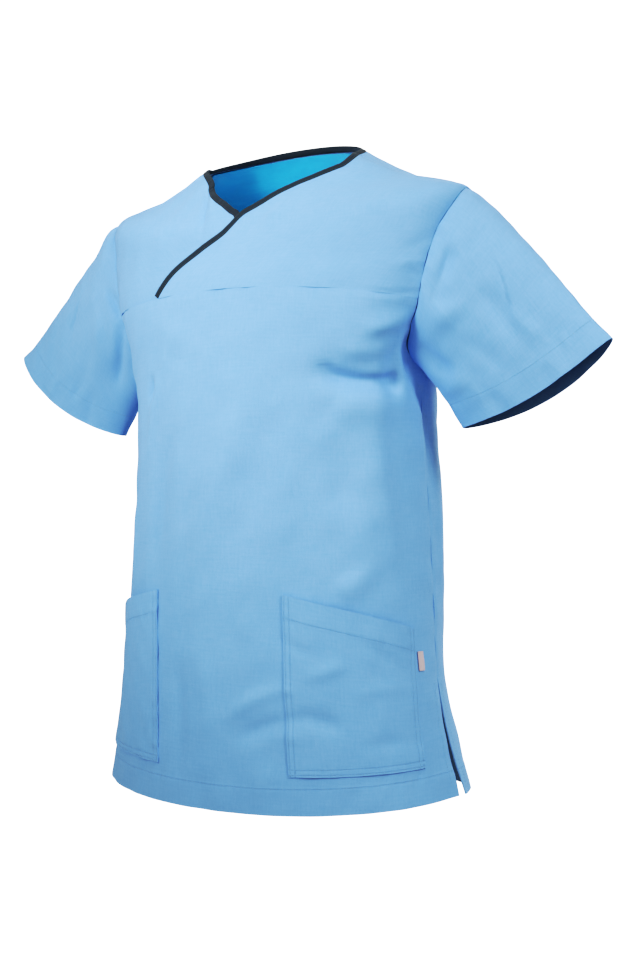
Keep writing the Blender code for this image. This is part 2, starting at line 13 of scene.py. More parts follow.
import bpy
import numpy as np
from bpy.props import FloatProperty, FloatVectorProperty, PointerProperty
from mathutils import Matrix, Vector


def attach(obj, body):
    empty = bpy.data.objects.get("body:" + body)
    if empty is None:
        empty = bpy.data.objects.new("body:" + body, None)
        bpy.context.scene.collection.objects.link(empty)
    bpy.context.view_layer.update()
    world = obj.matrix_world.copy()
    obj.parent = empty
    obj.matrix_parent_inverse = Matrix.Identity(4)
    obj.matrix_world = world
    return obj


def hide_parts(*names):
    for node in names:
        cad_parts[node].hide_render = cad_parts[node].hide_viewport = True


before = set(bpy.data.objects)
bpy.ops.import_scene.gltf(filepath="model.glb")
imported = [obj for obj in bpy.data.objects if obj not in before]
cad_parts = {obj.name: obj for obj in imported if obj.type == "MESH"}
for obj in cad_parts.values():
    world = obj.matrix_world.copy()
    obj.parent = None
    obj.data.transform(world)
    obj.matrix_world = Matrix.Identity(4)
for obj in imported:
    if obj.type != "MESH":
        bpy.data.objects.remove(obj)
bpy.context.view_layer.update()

bl_info = {
    "name": "Work blouse",
    "version": (1, 0, 0),
    "blender": (4, 5, 0),
    "location": "3D View > Sidebar > Work blouse",
    "description": "Makes a crossover work blouse as it is worn, with its sewing, cloth and studio",
    "category": "Add Mesh",
}

# ---- Cloth and sewing ------------------------------------------------------------------------
WALL = 0.0014             # the cloth's thickness
HALF_GAP = 0.00002        # each piece stops this far short of a seam line
RIDGE_GAP = 0.00002       # the same along the shoulder ridge
SKEW_GAP = 0.00002        # and where lines meet on a slant
LAP = 0.0006              # what lies on a panel is this far off it
INSIDE_LAP = 0.0014       # and what lies inside the cloth, this far in
BINDING_WIDTH = 0.008
BINDING_THICKNESS = 0.0020
UNDER_DEPTH = 0.0031      # how far the under yoke lies behind the over yoke
FACING_WALL = 0.0012
LABEL_WALL = 0.0010
DOUBLED = 0.00045         # how much prouder the cloth lies where it is turned up
TURN_EDGE = 0.0022        # how softly that step ends
SEAM_SINK = 0.0006        # how deep the cloth dips into a seam
SEAM_REACH = 0.0034       # and how far from it
STITCH_SINK = 0.00028     # and under a row of stitches
STITCH_REACH = 0.0019
STITCH_SHARE = 0.74       # a stitch's length as a share of the way to the next
EDGING_PITCH = 0.0026     # from one stitch to the next on the bindings
TOP_ROW = 0.0020          # rows of stitches on a pocket's edge, from its edge
INNER_ROW = 0.0075
ROW_ABOVE = 0.002         # a hem's stitches run this far inside its depth
GROOVE_REACH = 0.0009     # half the width of the groove along a row of stitches
KNIT_PITCH = 0.0026       # from one hole of the knit to the next
TAPE_PITCH = 0.0007       # from one rib of the tape to the next
TUBE_WELD = 0.00004       # a sleeve's two edges meet within this
SMOOTH_ANGLE = math.radians(50)

# ---- The form, ring by ring ------------------------------------------------------------------
Ring = namedtuple("Ring", "name front_z side_z back_z half_width front_y side_y back_y "
                          "front_full back_full back_rise")
RINGS = (
    Ring("hem",      -0.729, -0.718, -0.7315, 0.216,  -0.150,  0.006,  0.148,  0.04, 0.04, 2.0),
    Ring("slit top", -0.590, -0.590, -0.590,  0.199,  -0.144,  0.006,  0.142,  0.04, 0.04, 2.0),
    Ring("waist",    -0.460, -0.460, -0.460,  0.190,  -0.137,  0.006,  0.136,  0.04, 0.04, 2.0),
    Ring("ribs",     -0.340, -0.340, -0.340,  0.184,  -0.131,  0.004,  0.131,  0.04, 0.04, 2.0),
    Ring("underarm", -0.245, -0.245, -0.245,  0.188,  -0.127,  0.002,  0.128,  0.05, 0.05, 2.0),
    Ring("chest",    -0.158, -0.178, -0.162,  0.212,  -0.118,  0.004,  0.124,  0.07, 0.07, 2.0),
    Ring("upper",    -0.116, -0.102, -0.085,  0.2295, -0.106,  0.010,  0.112,  0.06, 0.06, 2.0),
    Ring("shoulder", -0.092, -0.048, -0.030,  0.2315, -0.098,  0.0125, 0.098,  0.04, 0.04, 2.0),
    Ring("slope",    -0.076, -0.0265, 0.002,  0.162,  -0.090,  0.006,  0.084,  0.00, 0.02, 1.5),
    Ring("neck",     -0.054,  0.000,  0.0265, 0.1035, -0.080, -0.005,  0.072, -0.10, 0.03, 1.0),
)
LEVEL = {ring.name: number for number, ring in enumerate(RINGS)}
FORM = np.array([ring[1:] for ring in RINGS])
SIDE_ANGLE = 90.0
BACK_ANGLE = 180.0

# ---- Armholes, yoke seam, slits --------------------------------------------------------------
ARMHOLE_FRONT = 26.5
ARMHOLE_BACK = 19.0
YOKE_LEVEL = LEVEL["chest"]
SlitRow = namedtuple("SlitRow", "level front back")
SLIT = (
    SlitRow(0.0, 2.0, 1.5),
    SlitRow(0.4, 1.8, 0.6),
    SlitRow(0.8, 1.4, 0.2),
    SlitRow(1.0, 0.0, 0.0),
)
FLARE_FRONT = 0.009
FLARE_BACK = 0.013
FLARE_SPREAD = 24.0

# ---- The neck edge of the yokes, from the neck point down to the yoke seam -------------------
EdgePoint = namedtuple("EdgePoint", "x z")
OVER_EDGE = (
    EdgePoint(0.1085, -0.0155),
    EdgePoint(0.1020, -0.0220),
    EdgePoint(0.0815, -0.0320),
    EdgePoint(0.0580, -0.0415),
    EdgePoint(0.0355, -0.0520),
    EdgePoint(0.0140, -0.0655),
    EdgePoint(-0.0025, -0.0755),
    EdgePoint(-0.0180, -0.0945),
    EdgePoint(-0.0455, -0.1125),
    EdgePoint(-0.0820, -0.1405),
    EdgePoint(-0.0975, -0.1630),
)
UNDER_EDGE = (            # its x is counted to the wearer's right
    EdgePoint(0.0840, -0.0215),
    EdgePoint(0.0770, -0.0315),
    EdgePoint(0.0665, -0.0410),
    EdgePoint(0.0515, -0.0500),
    EdgePoint(0.0360, -0.0580),
    EdgePoint(0.0225, -0.0665),
    EdgePoint(0.0125, -0.0735),
    EdgePoint(-0.0230, -0.0980),
    EdgePoint(-0.0820, -0.1405),
    EdgePoint(-0.0975, -0.1630),
)
SHOULDER_STEP = 0.05
EDGE_STEPS = 60
COVER_FULL = 5.0
COVER_FADE = 18.0

# ---- Pockets and label tab -------------------------------------------------------------------
Pocket = namedtuple("Pocket", "name top_in_x top_in_z top_out_x top_out_z "
                              "low_out_x low_out_z low_in_x low_in_z")
POCKETS = (
    Pocket("pocket_left", 0.075, -0.493, 0.186, -0.532, 0.200, -0.681, 0.088, -0.686),
    Pocket("pocket_right", -0.090, -0.494, -0.187, -0.530, -0.199, -0.680, -0.077, -0.686),
)
POCKET_STAND = 0.0035
LABEL_TOP_Z = -0.557
LABEL_HEIGHT = 0.021
LABEL_WIDTH_ANGLE = 3.2
LABEL_GAP_ANGLE = 0.5

# ---- Back neck facing ------------------------------------------------------------------------
FACING_DEPTH = 2.7
FACING_END_DEPTH = 1.10
FACING_ROUNDNESS = 0.8

# ---- Sleeves ---------------------------------------------------------------------------------
Cuff = namedtuple("Cuff", "name side top_out top_z low_out low_z cap_out cap_z reach_out reach_z")
CUFFS = (
    Cuff("sleeve_left", 1, 0.396, -0.222, 0.2265, -0.313, 0.131, -0.078, 0.155, -0.154),
    Cuff("sleeve_right", -1, 0.4045, -0.207, 0.2425, -0.314, 0.190, -0.118, 0.145, -0.104),
)
CUFF_Y = 0.010
CUFF_HALF_DEPTH = 0.027
CUFF_BULGE = 0.0155
LEAVE_LOW = (0.035, 0.000, -0.070)
REACH_LOW = (0.040, 0.000, -0.075)

# ---- Broad swells, the same as the solids' ---------------------------------------------------
Fold = namedtuple("Fold", "name angle level spread reach lean height")
BODY_FOLDS = (
    Fold("left armpit hollow", 64.0, 4.00, 5.0, 0.45, -4.0, -0.0080),
    Fold("left armpit bulge", 47.0, 4.45, 11.0, 0.45, 0.0, 0.0050),
    Fold("left armpit crescent", 40.0, 3.88, 14.0, 0.20, 0.0, -0.0045),
    Fold("left side drape", 56.0, 2.90, 7.0, 1.10, 5.0, 0.0035),
    Fold("right armpit hollow", -66.0, 4.15, 6.0, 0.45, 4.0, -0.0060),
    Fold("centre drape", -4.0, 2.20, 9.0, 1.60, 2.0, 0.0040),
    Fold("right drape", -30.0, 2.60, 7.0, 1.40, -2.0, -0.0035),
    Fold("left drape", 24.0, 1.90, 8.0, 1.30, 3.0, -0.0035),
    Fold("back left drape", 150.0, 2.30, 10.0, 1.50, 4.0, 0.0045),
    Fold("back right drape", -148.0, 2.00, 9.0, 1.40, -5.0, 0.0045),
    Fold("back hollow", 178.0, 3.00, 12.0, 1.20, 0.0, -0.0060),
    Fold("back left armpit", 116.0, 4.05, 6.0, 0.50, 4.0, -0.0060),
    Fold("back right armpit", -116.0, 4.05, 6.0, 0.50, -4.0, -0.0060),
    Fold("left flank swell", 112.0, 2.60, 16.0, 0.54, 0.0, 0.0042),
    Fold("left slit hollow", 110.0, 1.00, 18.0, 0.46, 0.0, -0.0065),
)
SLEEVE_FOLDS = {
    "sleeve_left": (
        Fold("front drag", 60.0, 0.35, 20.0, 0.30, 25.0, -0.0040),
        Fold("cap roll", 118.0, 0.25, 24.0, 0.22, 0.0, 0.0030),
        Fold("back drag", 300.0, 0.40, 22.0, 0.32, -20.0, -0.0045),
    ),
    "sleeve_right": (
        Fold("front drag", 52.0, 0.40, 18.0, 0.34, 20.0, -0.0055),
        Fold("cap roll", 112.0, 0.22, 26.0, 0.20, 0.0, 0.0025),
        Fold("back drag", 296.0, 0.42, 22.0, 0.30, -20.0, -0.0040),
        Fold("cap puff", 165.0, 0.05, 31.0, 0.10, 0.0, 0.0170),
    ),
}

# ---- Creases: three places along each, how wide it is to its left and right, its height,
# ---- and how much of that is left at its two ends --------------------------------------------
Crease = namedtuple("Crease", "name a1 l1 a2 l2 a3 l3 left right height start finish")
BODY_CREASES = (
    Crease("chest hollow, left", 33.2, 4.07, 44.5, 3.82, 66, 3.81, 0.0070, 0.0120, -0.0085, 0, 1),
    Crease("its upper lip", 37.8, 4.24, 48.2, 4.15, 59, 4.24, 0.0090, 0.0090, 0.0026, 0, 0.6),
    Crease("swell under it", 39.2, 3.54, 50.5, 3.47, 64.8, 3.52, 0.0180, 0.0170, 0.0055, 0, 0.3),
    Crease("chest swell by the armhole", 45.5, 4.42, 53, 4.5, 62, 4.63, 0.0080, 0.0080, 0.0040, 0, 0.7),
    Crease("dip under the yoke, left", 45.2, 4.8, 52.5, 4.79, 60.8, 4.87, 0.0080, 0.0080, -0.0020, 0, 0.8),
    Crease("armpit shadow", 68.5, 4.52, 75.2, 4.11, 84.2, 3.68, 0.0200, 0.0120, -0.0170, 0.5, 0.3),
    Crease("armpit fold down the side", 83.8, 3.76, 92.2, 3.25, 93.5, 2.45, 0.0100, 0.0070, -0.0055, 0.5, 0),
    Crease("armhole pucker", 56.8, 5.43, 60.5, 5.34, 64.5, 5.29, 0.0040, 0.0050, -0.0018, 0.4, 0),
    Crease("armhole pucker, lower", 60, 5.2, 63.2, 5.16, 64.8, 5.11, 0.0040, 0.0040, 0.0013, 0, 0.2),
    Crease("droop above the yoke seam", 38.8, 5.03, 50.8, 5.01, 62, 5.08, 0.0040, 0.0040, -0.0013, 0, 0.8),
    Crease("light fold right of centre", 12.2, 3.94, 1.8, 2.93, -11.8, 1.9, 0.0170, 0.0200, 0.0046, 0, 0.1),
    Crease("trough beside it", 19.2, 3.55, 11.5, 2.55, 3.2, 1.73, 0.0180, 0.0180, -0.0042, 0.1, 0.1),
    Crease("centre fold", 28.5, 3.76, 25, 2.64, 21, 1.79, 0.0150, 0.0150, 0.0032, 0, 0.2),
    Crease("shallow trough, left", 38, 3.23, 43.8, 2.73, 47, 2.24, 0.0190, 0.0210, -0.0042, 0, 0),
    Crease("long fold, left", 53, 3.23, 61.5, 2.55, 63.5, 1.77, 0.0140, 0.0150, 0.0032, 0.2, 0),
    Crease("swell over the pocket mouth", 41, 1.73, 46.5, 1.83, 59.2, 2, 0.0110, 0.0150, 0.0038, 0.2, 0),
    Crease("low ridge by the pocket", 3, 0.61, 11.2, 0.84, 23.8, 0.97, 0.0080, 0.0090, 0.0036, 0.1, 0.5),
    Crease("hollow under it", 6.5, 0.49, 15.2, 0.65, 26.8, 0.72, 0.0090, 0.0100, -0.0038, 0, 0.6),
    Crease("low fold, right", -8, 1.33, -3.2, 0.93, -3.2, 0.38, 0.0120, 0.0130, 0.0028, 0, 0.3),
    Crease("low trough, right", -16.5, 1.23, -13.8, 0.82, -13, 0.27, 0.0090, 0.0100, -0.0026, 0, 0.4),
    Crease("pocket hollow", 25, 0.77, 34.2, 0.73, 44.8, 0.64, 0.0100, 0.0100, -0.0038, 0.3, 0),
    Crease("pocket light fold", 27.8, 1.04, 37.2, 1.12, 46, 1.2, 0.0090, 0.0080, 0.0028, 0, 0),
    Crease("pocket slant, upper", 46.2, 1.38, 55.5, 1.26, 66.5, 1.1, 0.0070, 0.0070, -0.0014, 0, 0.3),
    Crease("pocket slant, middle", 44, 0.9, 54.8, 0.97, 69, 0.96, 0.0080, 0.0080, 0.0014, 0, 0.3),
    Crease("pocket foot dip", 45.5, 0.49, 54.8, 0.53, 68.5, 0.52, 0.0080, 0.0080, -0.0015, 0, 0.4),
    Crease("pocket inner drag", 23.5, 1.37, 29, 1.29, 36, 1.26, 0.0060, 0.0070, -0.0012, 0.6, 0),
    Crease("side pinch, right", -36.8, 4, -35.8, 3.78, -37.8, 3.53, 0.0050, 0.0050, -0.0042, 0, 0),
    Crease("ridge along it", -31.2, 4.01, -34, 3.63, -41.5, 2.92, 0.0060, 0.0060, 0.0034, 0, 0),
    Crease("right side drape", -47.8, 2.83, -48.5, 2.16, -46, 1.61, 0.0080, 0.0090, 0.0028, 0, 0),
    Crease("right front drape", -23, 3.37, -28.8, 2.54, -27, 1.73, 0.0120, 0.0120, -0.0036, 0.2, 0.2),
    Crease("yoke crease, right", -54.2, 8.88, -24.8, 8.27, -10.2, 6.33, 0.0035, 0.0035, -0.0030, 0.2, 0),
    Crease("light beside it", -39.2, 8.89, -17.8, 8.15, -7.8, 6.31, 0.0040, 0.0040, 0.0013, 0.1, 0),
    Crease("second yoke crease, right", -48, 8.11, -26, 7.05, -26.8, 5.87, 0.0090, 0.0090, -0.0012, 0, 0),
    Crease("wrap drag", 31.2, 8.58, 12.2, 7.64, 6.2, 5.79, 0.0080, 0.0100, 0.0024, 0.3, 0),
    Crease("wrap drag trough", 19, 8.83, 5.2, 7.57, 2, 5.97, 0.0080, 0.0080, -0.0011, 0.3, 0),
    Crease("yoke slant, left", 32, 6.89, 29, 6.04, 29.5, 5.23, 0.0120, 0.0120, 0.0012, 0, 0),
    Crease("yoke hollow, left", 40, 6.47, 40, 5.72, 38.5, 5.22, 0.0130, 0.0130, -0.0012, 0, 0),
    Crease("drag from the armhole, upper", 67.8, 6.03, 58.8, 5.85, 51, 5.71, 0.0060, 0.0070, -0.0014, 0.6, 0),
    Crease("drag from the armhole, lower", 65.8, 5.54, 55.8, 5.51, 47.8, 5.39, 0.0070, 0.0060, 0.0014, 0.5, 0),
    Crease("shoulder slope dip", 84.2, 7.76, 52.2, 7.09, 45.2, 6.39, 0.0120, 0.0120, -0.0010, 0, 0),
    Crease("belly slant", -3.8, 1.67, 7.5, 1.35, 20, 1.2, 0.0160, 0.0160, -0.0014, 0, 0.2),
    Crease("centre belly swell", 10, 1.6, 12.5, 1.28, 9.2, 0.95, 0.0180, 0.0180, 0.0016, 0, 0),
    Crease("right chest swell", -32.2, 4.67, -22, 4.47, -11.8, 4.41, 0.0140, 0.0140, 0.0016, 0.4, 0),
    Crease("right chest dip", -29.8, 4.24, -16, 4.08, -4, 4.03, 0.0120, 0.0120, -0.0012, 0.3, 0),
    Crease("hem flute, right", -6.2, 0.29, -5.2, 0.16, -4.2, 0.02, 0.0140, 0.0140, -0.0016, 0.2, 1),
    Crease("hem flute, centre", 16.5, 0.45, 17, 0.24, 17.5, 0.04, 0.0160, 0.0160, 0.0016, 0, 1),
    Crease("hem flute, left", 43.5, 0.22, 43.2, 0.13, 43, 0.02, 0.0120, 0.0120, -0.0014, 0.4, 1),
    Crease("hem flute, side", 59.5, 0.22, 59.8, 0.12, 60, 0.01, 0.0100, 0.0100, 0.0016, 0.4, 1),
    Crease("side drape, left", 101, 3.1, 103, 2.2, 101, 1.3, 0.0110, 0.0120, 0.0020, 0.1, 0),
    Crease("right armpit shadow", -62, 4.7, -72, 4.2, -84, 3.7, 0.0100, 0.0130, -0.0060, 0.6, 0.2),
    Crease("right armpit lip", -48, 4.3, -58, 4, -72, 3.9, 0.0100, 0.0110, 0.0024, 0, 0.5),
    Crease("right armpit drag", -50, 3.7, -62, 3.6, -78, 3.7, 0.0110, 0.0110, -0.0030, 0, 0.8),
    Crease("right side drag", -68, 3.4, -72, 2.6, -68, 1.8, 0.0120, 0.0120, 0.0024, 0.1, 0),
    Crease("right side trough", -80, 3.1, -84, 2.3, -82, 1.4, 0.0110, 0.0110, -0.0024, 0.1, 0),
    Crease("back armpit drag, left", 111, 4.6, 124, 4.2, 141, 3.6, 0.0100, 0.0130, -0.0034, 0.7, 0),
    Crease("back armpit drag, right", 249, 4.7, 237, 4.3, 221, 3.8, 0.0130, 0.0100, -0.0038, 0.7, 0),
    Crease("back armpit swell, left", 107, 4.1, 119, 3.6, 131, 3, 0.0120, 0.0120, 0.0026, 0.5, 0),
    Crease("back armpit swell, right", 253, 4.2, 243, 3.7, 229, 3.1, 0.0120, 0.0120, 0.0024, 0.5, 0),
    Crease("spine hollow", 175, 4.9, 179, 3.9, 177, 3.1, 0.0190, 0.0170, -0.0024, 0, 0.3),
    Crease("small of the back, left", 149, 3.3, 165, 3, 179, 3.1, 0.0110, 0.0130, -0.0024, 0, 0.2),
    Crease("small of the back, right", 210, 3.2, 193, 2.9, 182, 3.05, 0.0120, 0.0110, -0.0020, 0, 0.2),
    Crease("roll under it", 153, 2.65, 171, 2.45, 192, 2.55, 0.0120, 0.0140, 0.0020, 0, 0),
    Crease("long drape, back left", 147, 2.9, 142, 1.9, 139, 0.5, 0.0190, 0.0210, 0.0030, 0, 0.4),
    Crease("long trough, back left", 163, 2.4, 160, 1.4, 157, 0, 0.0180, 0.0160, -0.0026, 0, 0.8),
    Crease("long drape, back right", 196, 2.6, 200, 1.5, 204, 0, 0.0180, 0.0200, 0.0028, 0, 0.8),
    Crease("long trough, back right", 214, 2.8, 220, 1.6, 222, 0.2, 0.0160, 0.0180, -0.0028, 0, 0.5),
    Crease("outer drape, back right", 233, 2.6, 237, 1.4, 239, 0.1, 0.0140, 0.0160, 0.0024, 0, 0.5),
    Crease("outer trough, back left", 124, 2.8, 121, 1.6, 119, 0.3, 0.0140, 0.0150, -0.0024, 0, 0.3),
    Crease("shoulder blade, left", 140, 6.2, 150, 5.4, 152, 4.6, 0.0240, 0.0220, 0.0022, 0, 0),
    Crease("shoulder blade, right", 221, 6.2, 211, 5.4, 208, 4.6, 0.0220, 0.0240, 0.0020, 0, 0),
    Crease("neck drag, left", 158, 8.6, 149, 7.6, 139, 6.5, 0.0100, 0.0110, -0.0013, 0.2, 0),
    Crease("neck drag, right", 203, 8.6, 213, 7.5, 223, 6.6, 0.0110, 0.0100, -0.0012, 0.2, 0),
    Crease("back armhole pucker, left", 109, 5.6, 114, 5.5, 119, 5.45, 0.0060, 0.0060, -0.0016, 0.5, 0),
    Crease("back armhole pucker, right", 251, 5.9, 246, 5.8, 240, 5.7, 0.0060, 0.0060, -0.0016, 0.5, 0),
    Crease("hem flute, back left", 131, 0.32, 131, 0.15, 130, 0, 0.0150, 0.0160, 0.0016, 0, 1),
    Crease("hem flute, back", 176, 0.34, 177, 0.16, 178, 0, 0.0160, 0.0160, -0.0014, 0, 1),
    Crease("hem flute, back right", 231, 0.3, 230, 0.14, 229, 0, 0.0140, 0.0150, -0.0016, 0, 1),
)
SLEEVE_CREASES = {
    "sleeve_left": (
        Crease("shadow beside the armhole", 113, 0.13, 100, 0.175, 81, 0.185, 0.0080, 0.0060, -0.0046, 0, 0.4),
        Crease("swell from the armpit", 60, 0.185, 78.5, 0.3, 96.5, 0.4, 0.0120, 0.0140, 0.0046, 0.3, 0),
        Crease("broad trough to the cuff", 102.5, 0.365, 108.5, 0.555, 106.5, 0.715, 0.0120, 0.0120, -0.0036, 0, 0),
        Crease("light fold, upper", 109.5, 0.505, 114, 0.66, 120, 0.82, 0.0090, 0.0100, 0.0030, 0, 0),
        Crease("underarm patch", 41.5, 0.175, 44.5, 0.38, 51.5, 0.57, 0.0090, 0.0100, -0.0060, 0.6, 0),
        Crease("underarm swell", 25, 0.525, 46.5, 0.61, 65, 0.625, 0.0090, 0.0100, 0.0020, 0.1, 0),
        Crease("cap dip", 141.5, 0.165, 130, 0.255, 116.5, 0.325, 0.0120, 0.0120, -0.0014, 0.3, 0),
        Crease("cap swell", 151, 0.325, 144.5, 0.49, 142, 0.63, 0.0160, 0.0160, 0.0016, 0, 0),
        Crease("front drag", 70, 0.325, 80.5, 0.6, 87.5, 0.82, 0.0090, 0.0100, -0.0016, 0.2, 0),
        Crease("cuff flute, lower", 65, 0.8, 66.5, 0.9, 66.5, 1, 0.0090, 0.0090, -0.0018, 0, 1),
        Crease("cuff flute, upper", 112, 0.82, 113, 0.91, 112, 1, 0.0090, 0.0090, 0.0016, 0, 1),
        Crease("back drag, upper", 247, 0.06, 262, 0.3, 272, 0.52, 0.0100, 0.0120, -0.0034, 0.4, 0),
        Crease("back swell", 302, 0.16, 297, 0.45, 290, 0.8, 0.0140, 0.0130, 0.0024, 0.1, 0),
        Crease("back trough", 321, 0.2, 316, 0.52, 312, 0.92, 0.0100, 0.0110, -0.0026, 0.2, 0.3),
        Crease("back cuff flute", 231, 0.5, 233, 0.75, 236, 1, 0.0120, 0.0120, -0.0018, 0, 1),
        Crease("top roll, back", 206, 0.25, 212, 0.55, 217, 0.86, 0.0160, 0.0150, 0.0018, 0, 0),
        Crease("under the arm", 341, 0.1, 346, 0.42, 350, 0.8, 0.0090, 0.0090, -0.0022, 0.4, 0),
    ),
    "sleeve_right": (
        Crease("shadow beside the armhole", 102.5, 0.135, 84.5, 0.07, 69, 0.01, 0.0080, 0.0060, -0.0046, 0.2, 0.5),
        Crease("inner drag", 64, 0.05, 55, 0.255, 44, 0.56, 0.0060, 0.0070, -0.0050, 0.6, 0),
        Crease("light over it", 99.5, 0.215, 85.5, 0.315, 73, 0.475, 0.0090, 0.0100, 0.0022, 0, 0),
        Crease("cap swell", 143.5, 0.055, 124.5, 0.125, 113.5, 0.23, 0.0090, 0.0100, 0.0016, 0.2, 0),
        Crease("outer trough", 131.5, 0.35, 117.5, 0.51, 105.5, 0.66, 0.0100, 0.0100, -0.0018, 0, 0),
        Crease("outer fold", 159, 0.525, 139, 0.66, 131, 0.785, 0.0090, 0.0090, 0.0016, 0, 0),
        Crease("cuff flute", 68, 0.635, 63.5, 0.765, 58.5, 0.925, 0.0080, 0.0080, -0.0016, 0, 1),
        Crease("cuff flute, outer", 105, 0.75, 101.5, 0.845, 99.5, 0.93, 0.0080, 0.0080, 0.0014, 0, 1),
        Crease("back drag, upper", 252, 0.05, 264, 0.28, 275, 0.56, 0.0110, 0.0110, -0.0036, 0.4, 0),
        Crease("back swell", 298, 0.14, 292, 0.42, 288, 0.74, 0.0130, 0.0140, 0.0026, 0.1, 0),
        Crease("back trough", 318, 0.24, 310, 0.56, 306, 0.95, 0.0110, 0.0110, -0.0024, 0.2, 0.3),
        Crease("back cuff flute", 226, 0.55, 229, 0.78, 231, 1, 0.0110, 0.0120, 0.0018, 0, 1),
        Crease("top roll, back", 202, 0.22, 209, 0.5, 214, 0.8, 0.0150, 0.0160, 0.0018, 0, 0),
        Crease("front drape", 88, 0.3, 82, 0.6, 78, 0.9, 0.0110, 0.0110, -0.0020, 0, 0.2),
        Crease("under the arm", 338, 0.12, 343, 0.4, 347, 0.84, 0.0090, 0.0090, -0.0022, 0.4, 0),
    ),
}

# ---- How finely each piece is divided: cells along each stretch of its rows and columns -------------------
HEM_LEVEL = 0.26
HEM_ROWS = 24
SLIT_ROWS = 30
SIDE_ROWS = 100
ARM_LOW_ROWS = 28
YOKE_ROWS = 100
ARM_BACK_ROWS = 66
SHOULDER_ROWS = 22
FRONT_COLUMNS = 200
BACK_COLUMNS = 170
YOKE_COLUMNS = 96
SLEEVE_ROWS = 84
POCKET_COLUMNS = 76
POCKET_ROWS = 104
BINDING_STEPS = 220
FACING_COLUMNS = 150
FACING_ROWS = 44
EDGE_CROWDING = 0.45      # how much closer the columns lie at a panel's edges


# ---- The form --------------------------------------------------------------------------------
def through_rings(level):
    """The ring's sizes at any level: a smooth curve through the table's rows."""
    level = np.clip(np.asarray(level, dtype=float), 0.0, len(FORM) - 1.0)
    below = np.minimum(level.astype(int), len(FORM) - 2)
    part = (level - below)[..., None]
    start, end = FORM[below], FORM[below + 1]
    before = np.where((below == 0)[..., None], 2 * start - end, FORM[np.maximum(below - 1, 0)])
    last = (below == len(FORM) - 2)[..., None]
    after = np.where(last, 2 * end - start, FORM[np.minimum(below + 2, len(FORM) - 1)])
    return 0.5 * (2 * start + (end - before) * part
                  + (2 * before - 5 * start + 4 * end - after) * part ** 2
                  + (3 * start - before - 3 * end + after) * part ** 3)


def bare_form(angle, level):
    """The form without its folds."""
    sizes = np.moveaxis(through_rings(level), -1, 0)
    front_z, side_z, back_z, half_width, front_y, side_y, back_y, front_full, back_full, back_rise = sizes
    turn = np.radians(angle)
    across, along = np.sin(turn), np.cos(turn)
    forward = along > 0
    swell = 1.0 + np.where(forward, front_full, back_full) * np.sin(2 * turn) ** 2
    y = side_y + np.where(forward, front_y - side_y, back_y - side_y) * np.abs(along) * swell
    rise = np.where(forward, (front_z - side_z) * along ** 2, (back_z - side_z) * np.abs(along) ** back_rise)
    z = side_z + rise
    return np.stack([half_width * across * swell, y, z], axis=-1)


def unit(vectors):
    return vectors / np.linalg.norm(vectors, axis=-1, keepdims=True)


def form_normal(angle, level):
    """The outward direction of the form."""
    small_turn, small_rise = 0.5, 0.02
    low = np.clip(level - small_rise, 0.0, len(FORM) - 1.0)
    high = np.clip(level + small_rise, 0.0, len(FORM) - 1.0)
    around = bare_form(angle + small_turn, level) - bare_form(angle - small_turn, level)
    up = bare_form(angle, high) - bare_form(angle, low)
    return unit(np.cross(around, up))


def soft_bump(along, across):
    return np.exp(-along ** 2 - across ** 2)


def smooth_step(part):
    part = np.clip(part, 0.0, 1.0)
    return part * part * (3 - 2 * part)


def turn_between(angle, middle):
    """Degrees from the middle to the angle, the short way round."""
    return (angle - middle + BACK_ANGLE) % (2 * BACK_ANGLE) - BACK_ANGLE


def fold_height(angle, level):
    """How far the broad swells and the parted slit edges lift the cloth off the form."""
    height = np.zeros(np.broadcast(angle, level).shape)
    for fold in BODY_FOLDS:
        middle = fold.angle + fold.lean * (level - fold.level)
        across = turn_between(angle, middle) / fold.spread
        height = height + fold.height * soft_bump((level - fold.level) / fold.reach, across)
    below_slit = np.clip(LEVEL["slit top"] - level, 0.0, 1.0) ** 2
    past_side = (np.abs(turn_between(angle, 0.0)) - SIDE_ANGLE) / FLARE_SPREAD
    swing = np.where(past_side > 0, FLARE_BACK, FLARE_FRONT)
    return height + swing * below_slit * np.exp(-past_side ** 2)


def crease_line(crease, surface):
    """Points, directions and outward directions along a crease."""
    part = np.linspace(0.0, 1.0, 25)
    blend = np.stack([(1 - part) * (1 - 2 * part), 4 * part * (1 - part), part * (2 * part - 1)], axis=-1)
    places = blend @ np.array([[crease.a1, crease.l1], [crease.a2, crease.l2], [crease.a3, crease.l3]])
    line, outward = surface(places[:, 0], places[:, 1])
    return line, unit(np.gradient(line, axis=0)), outward


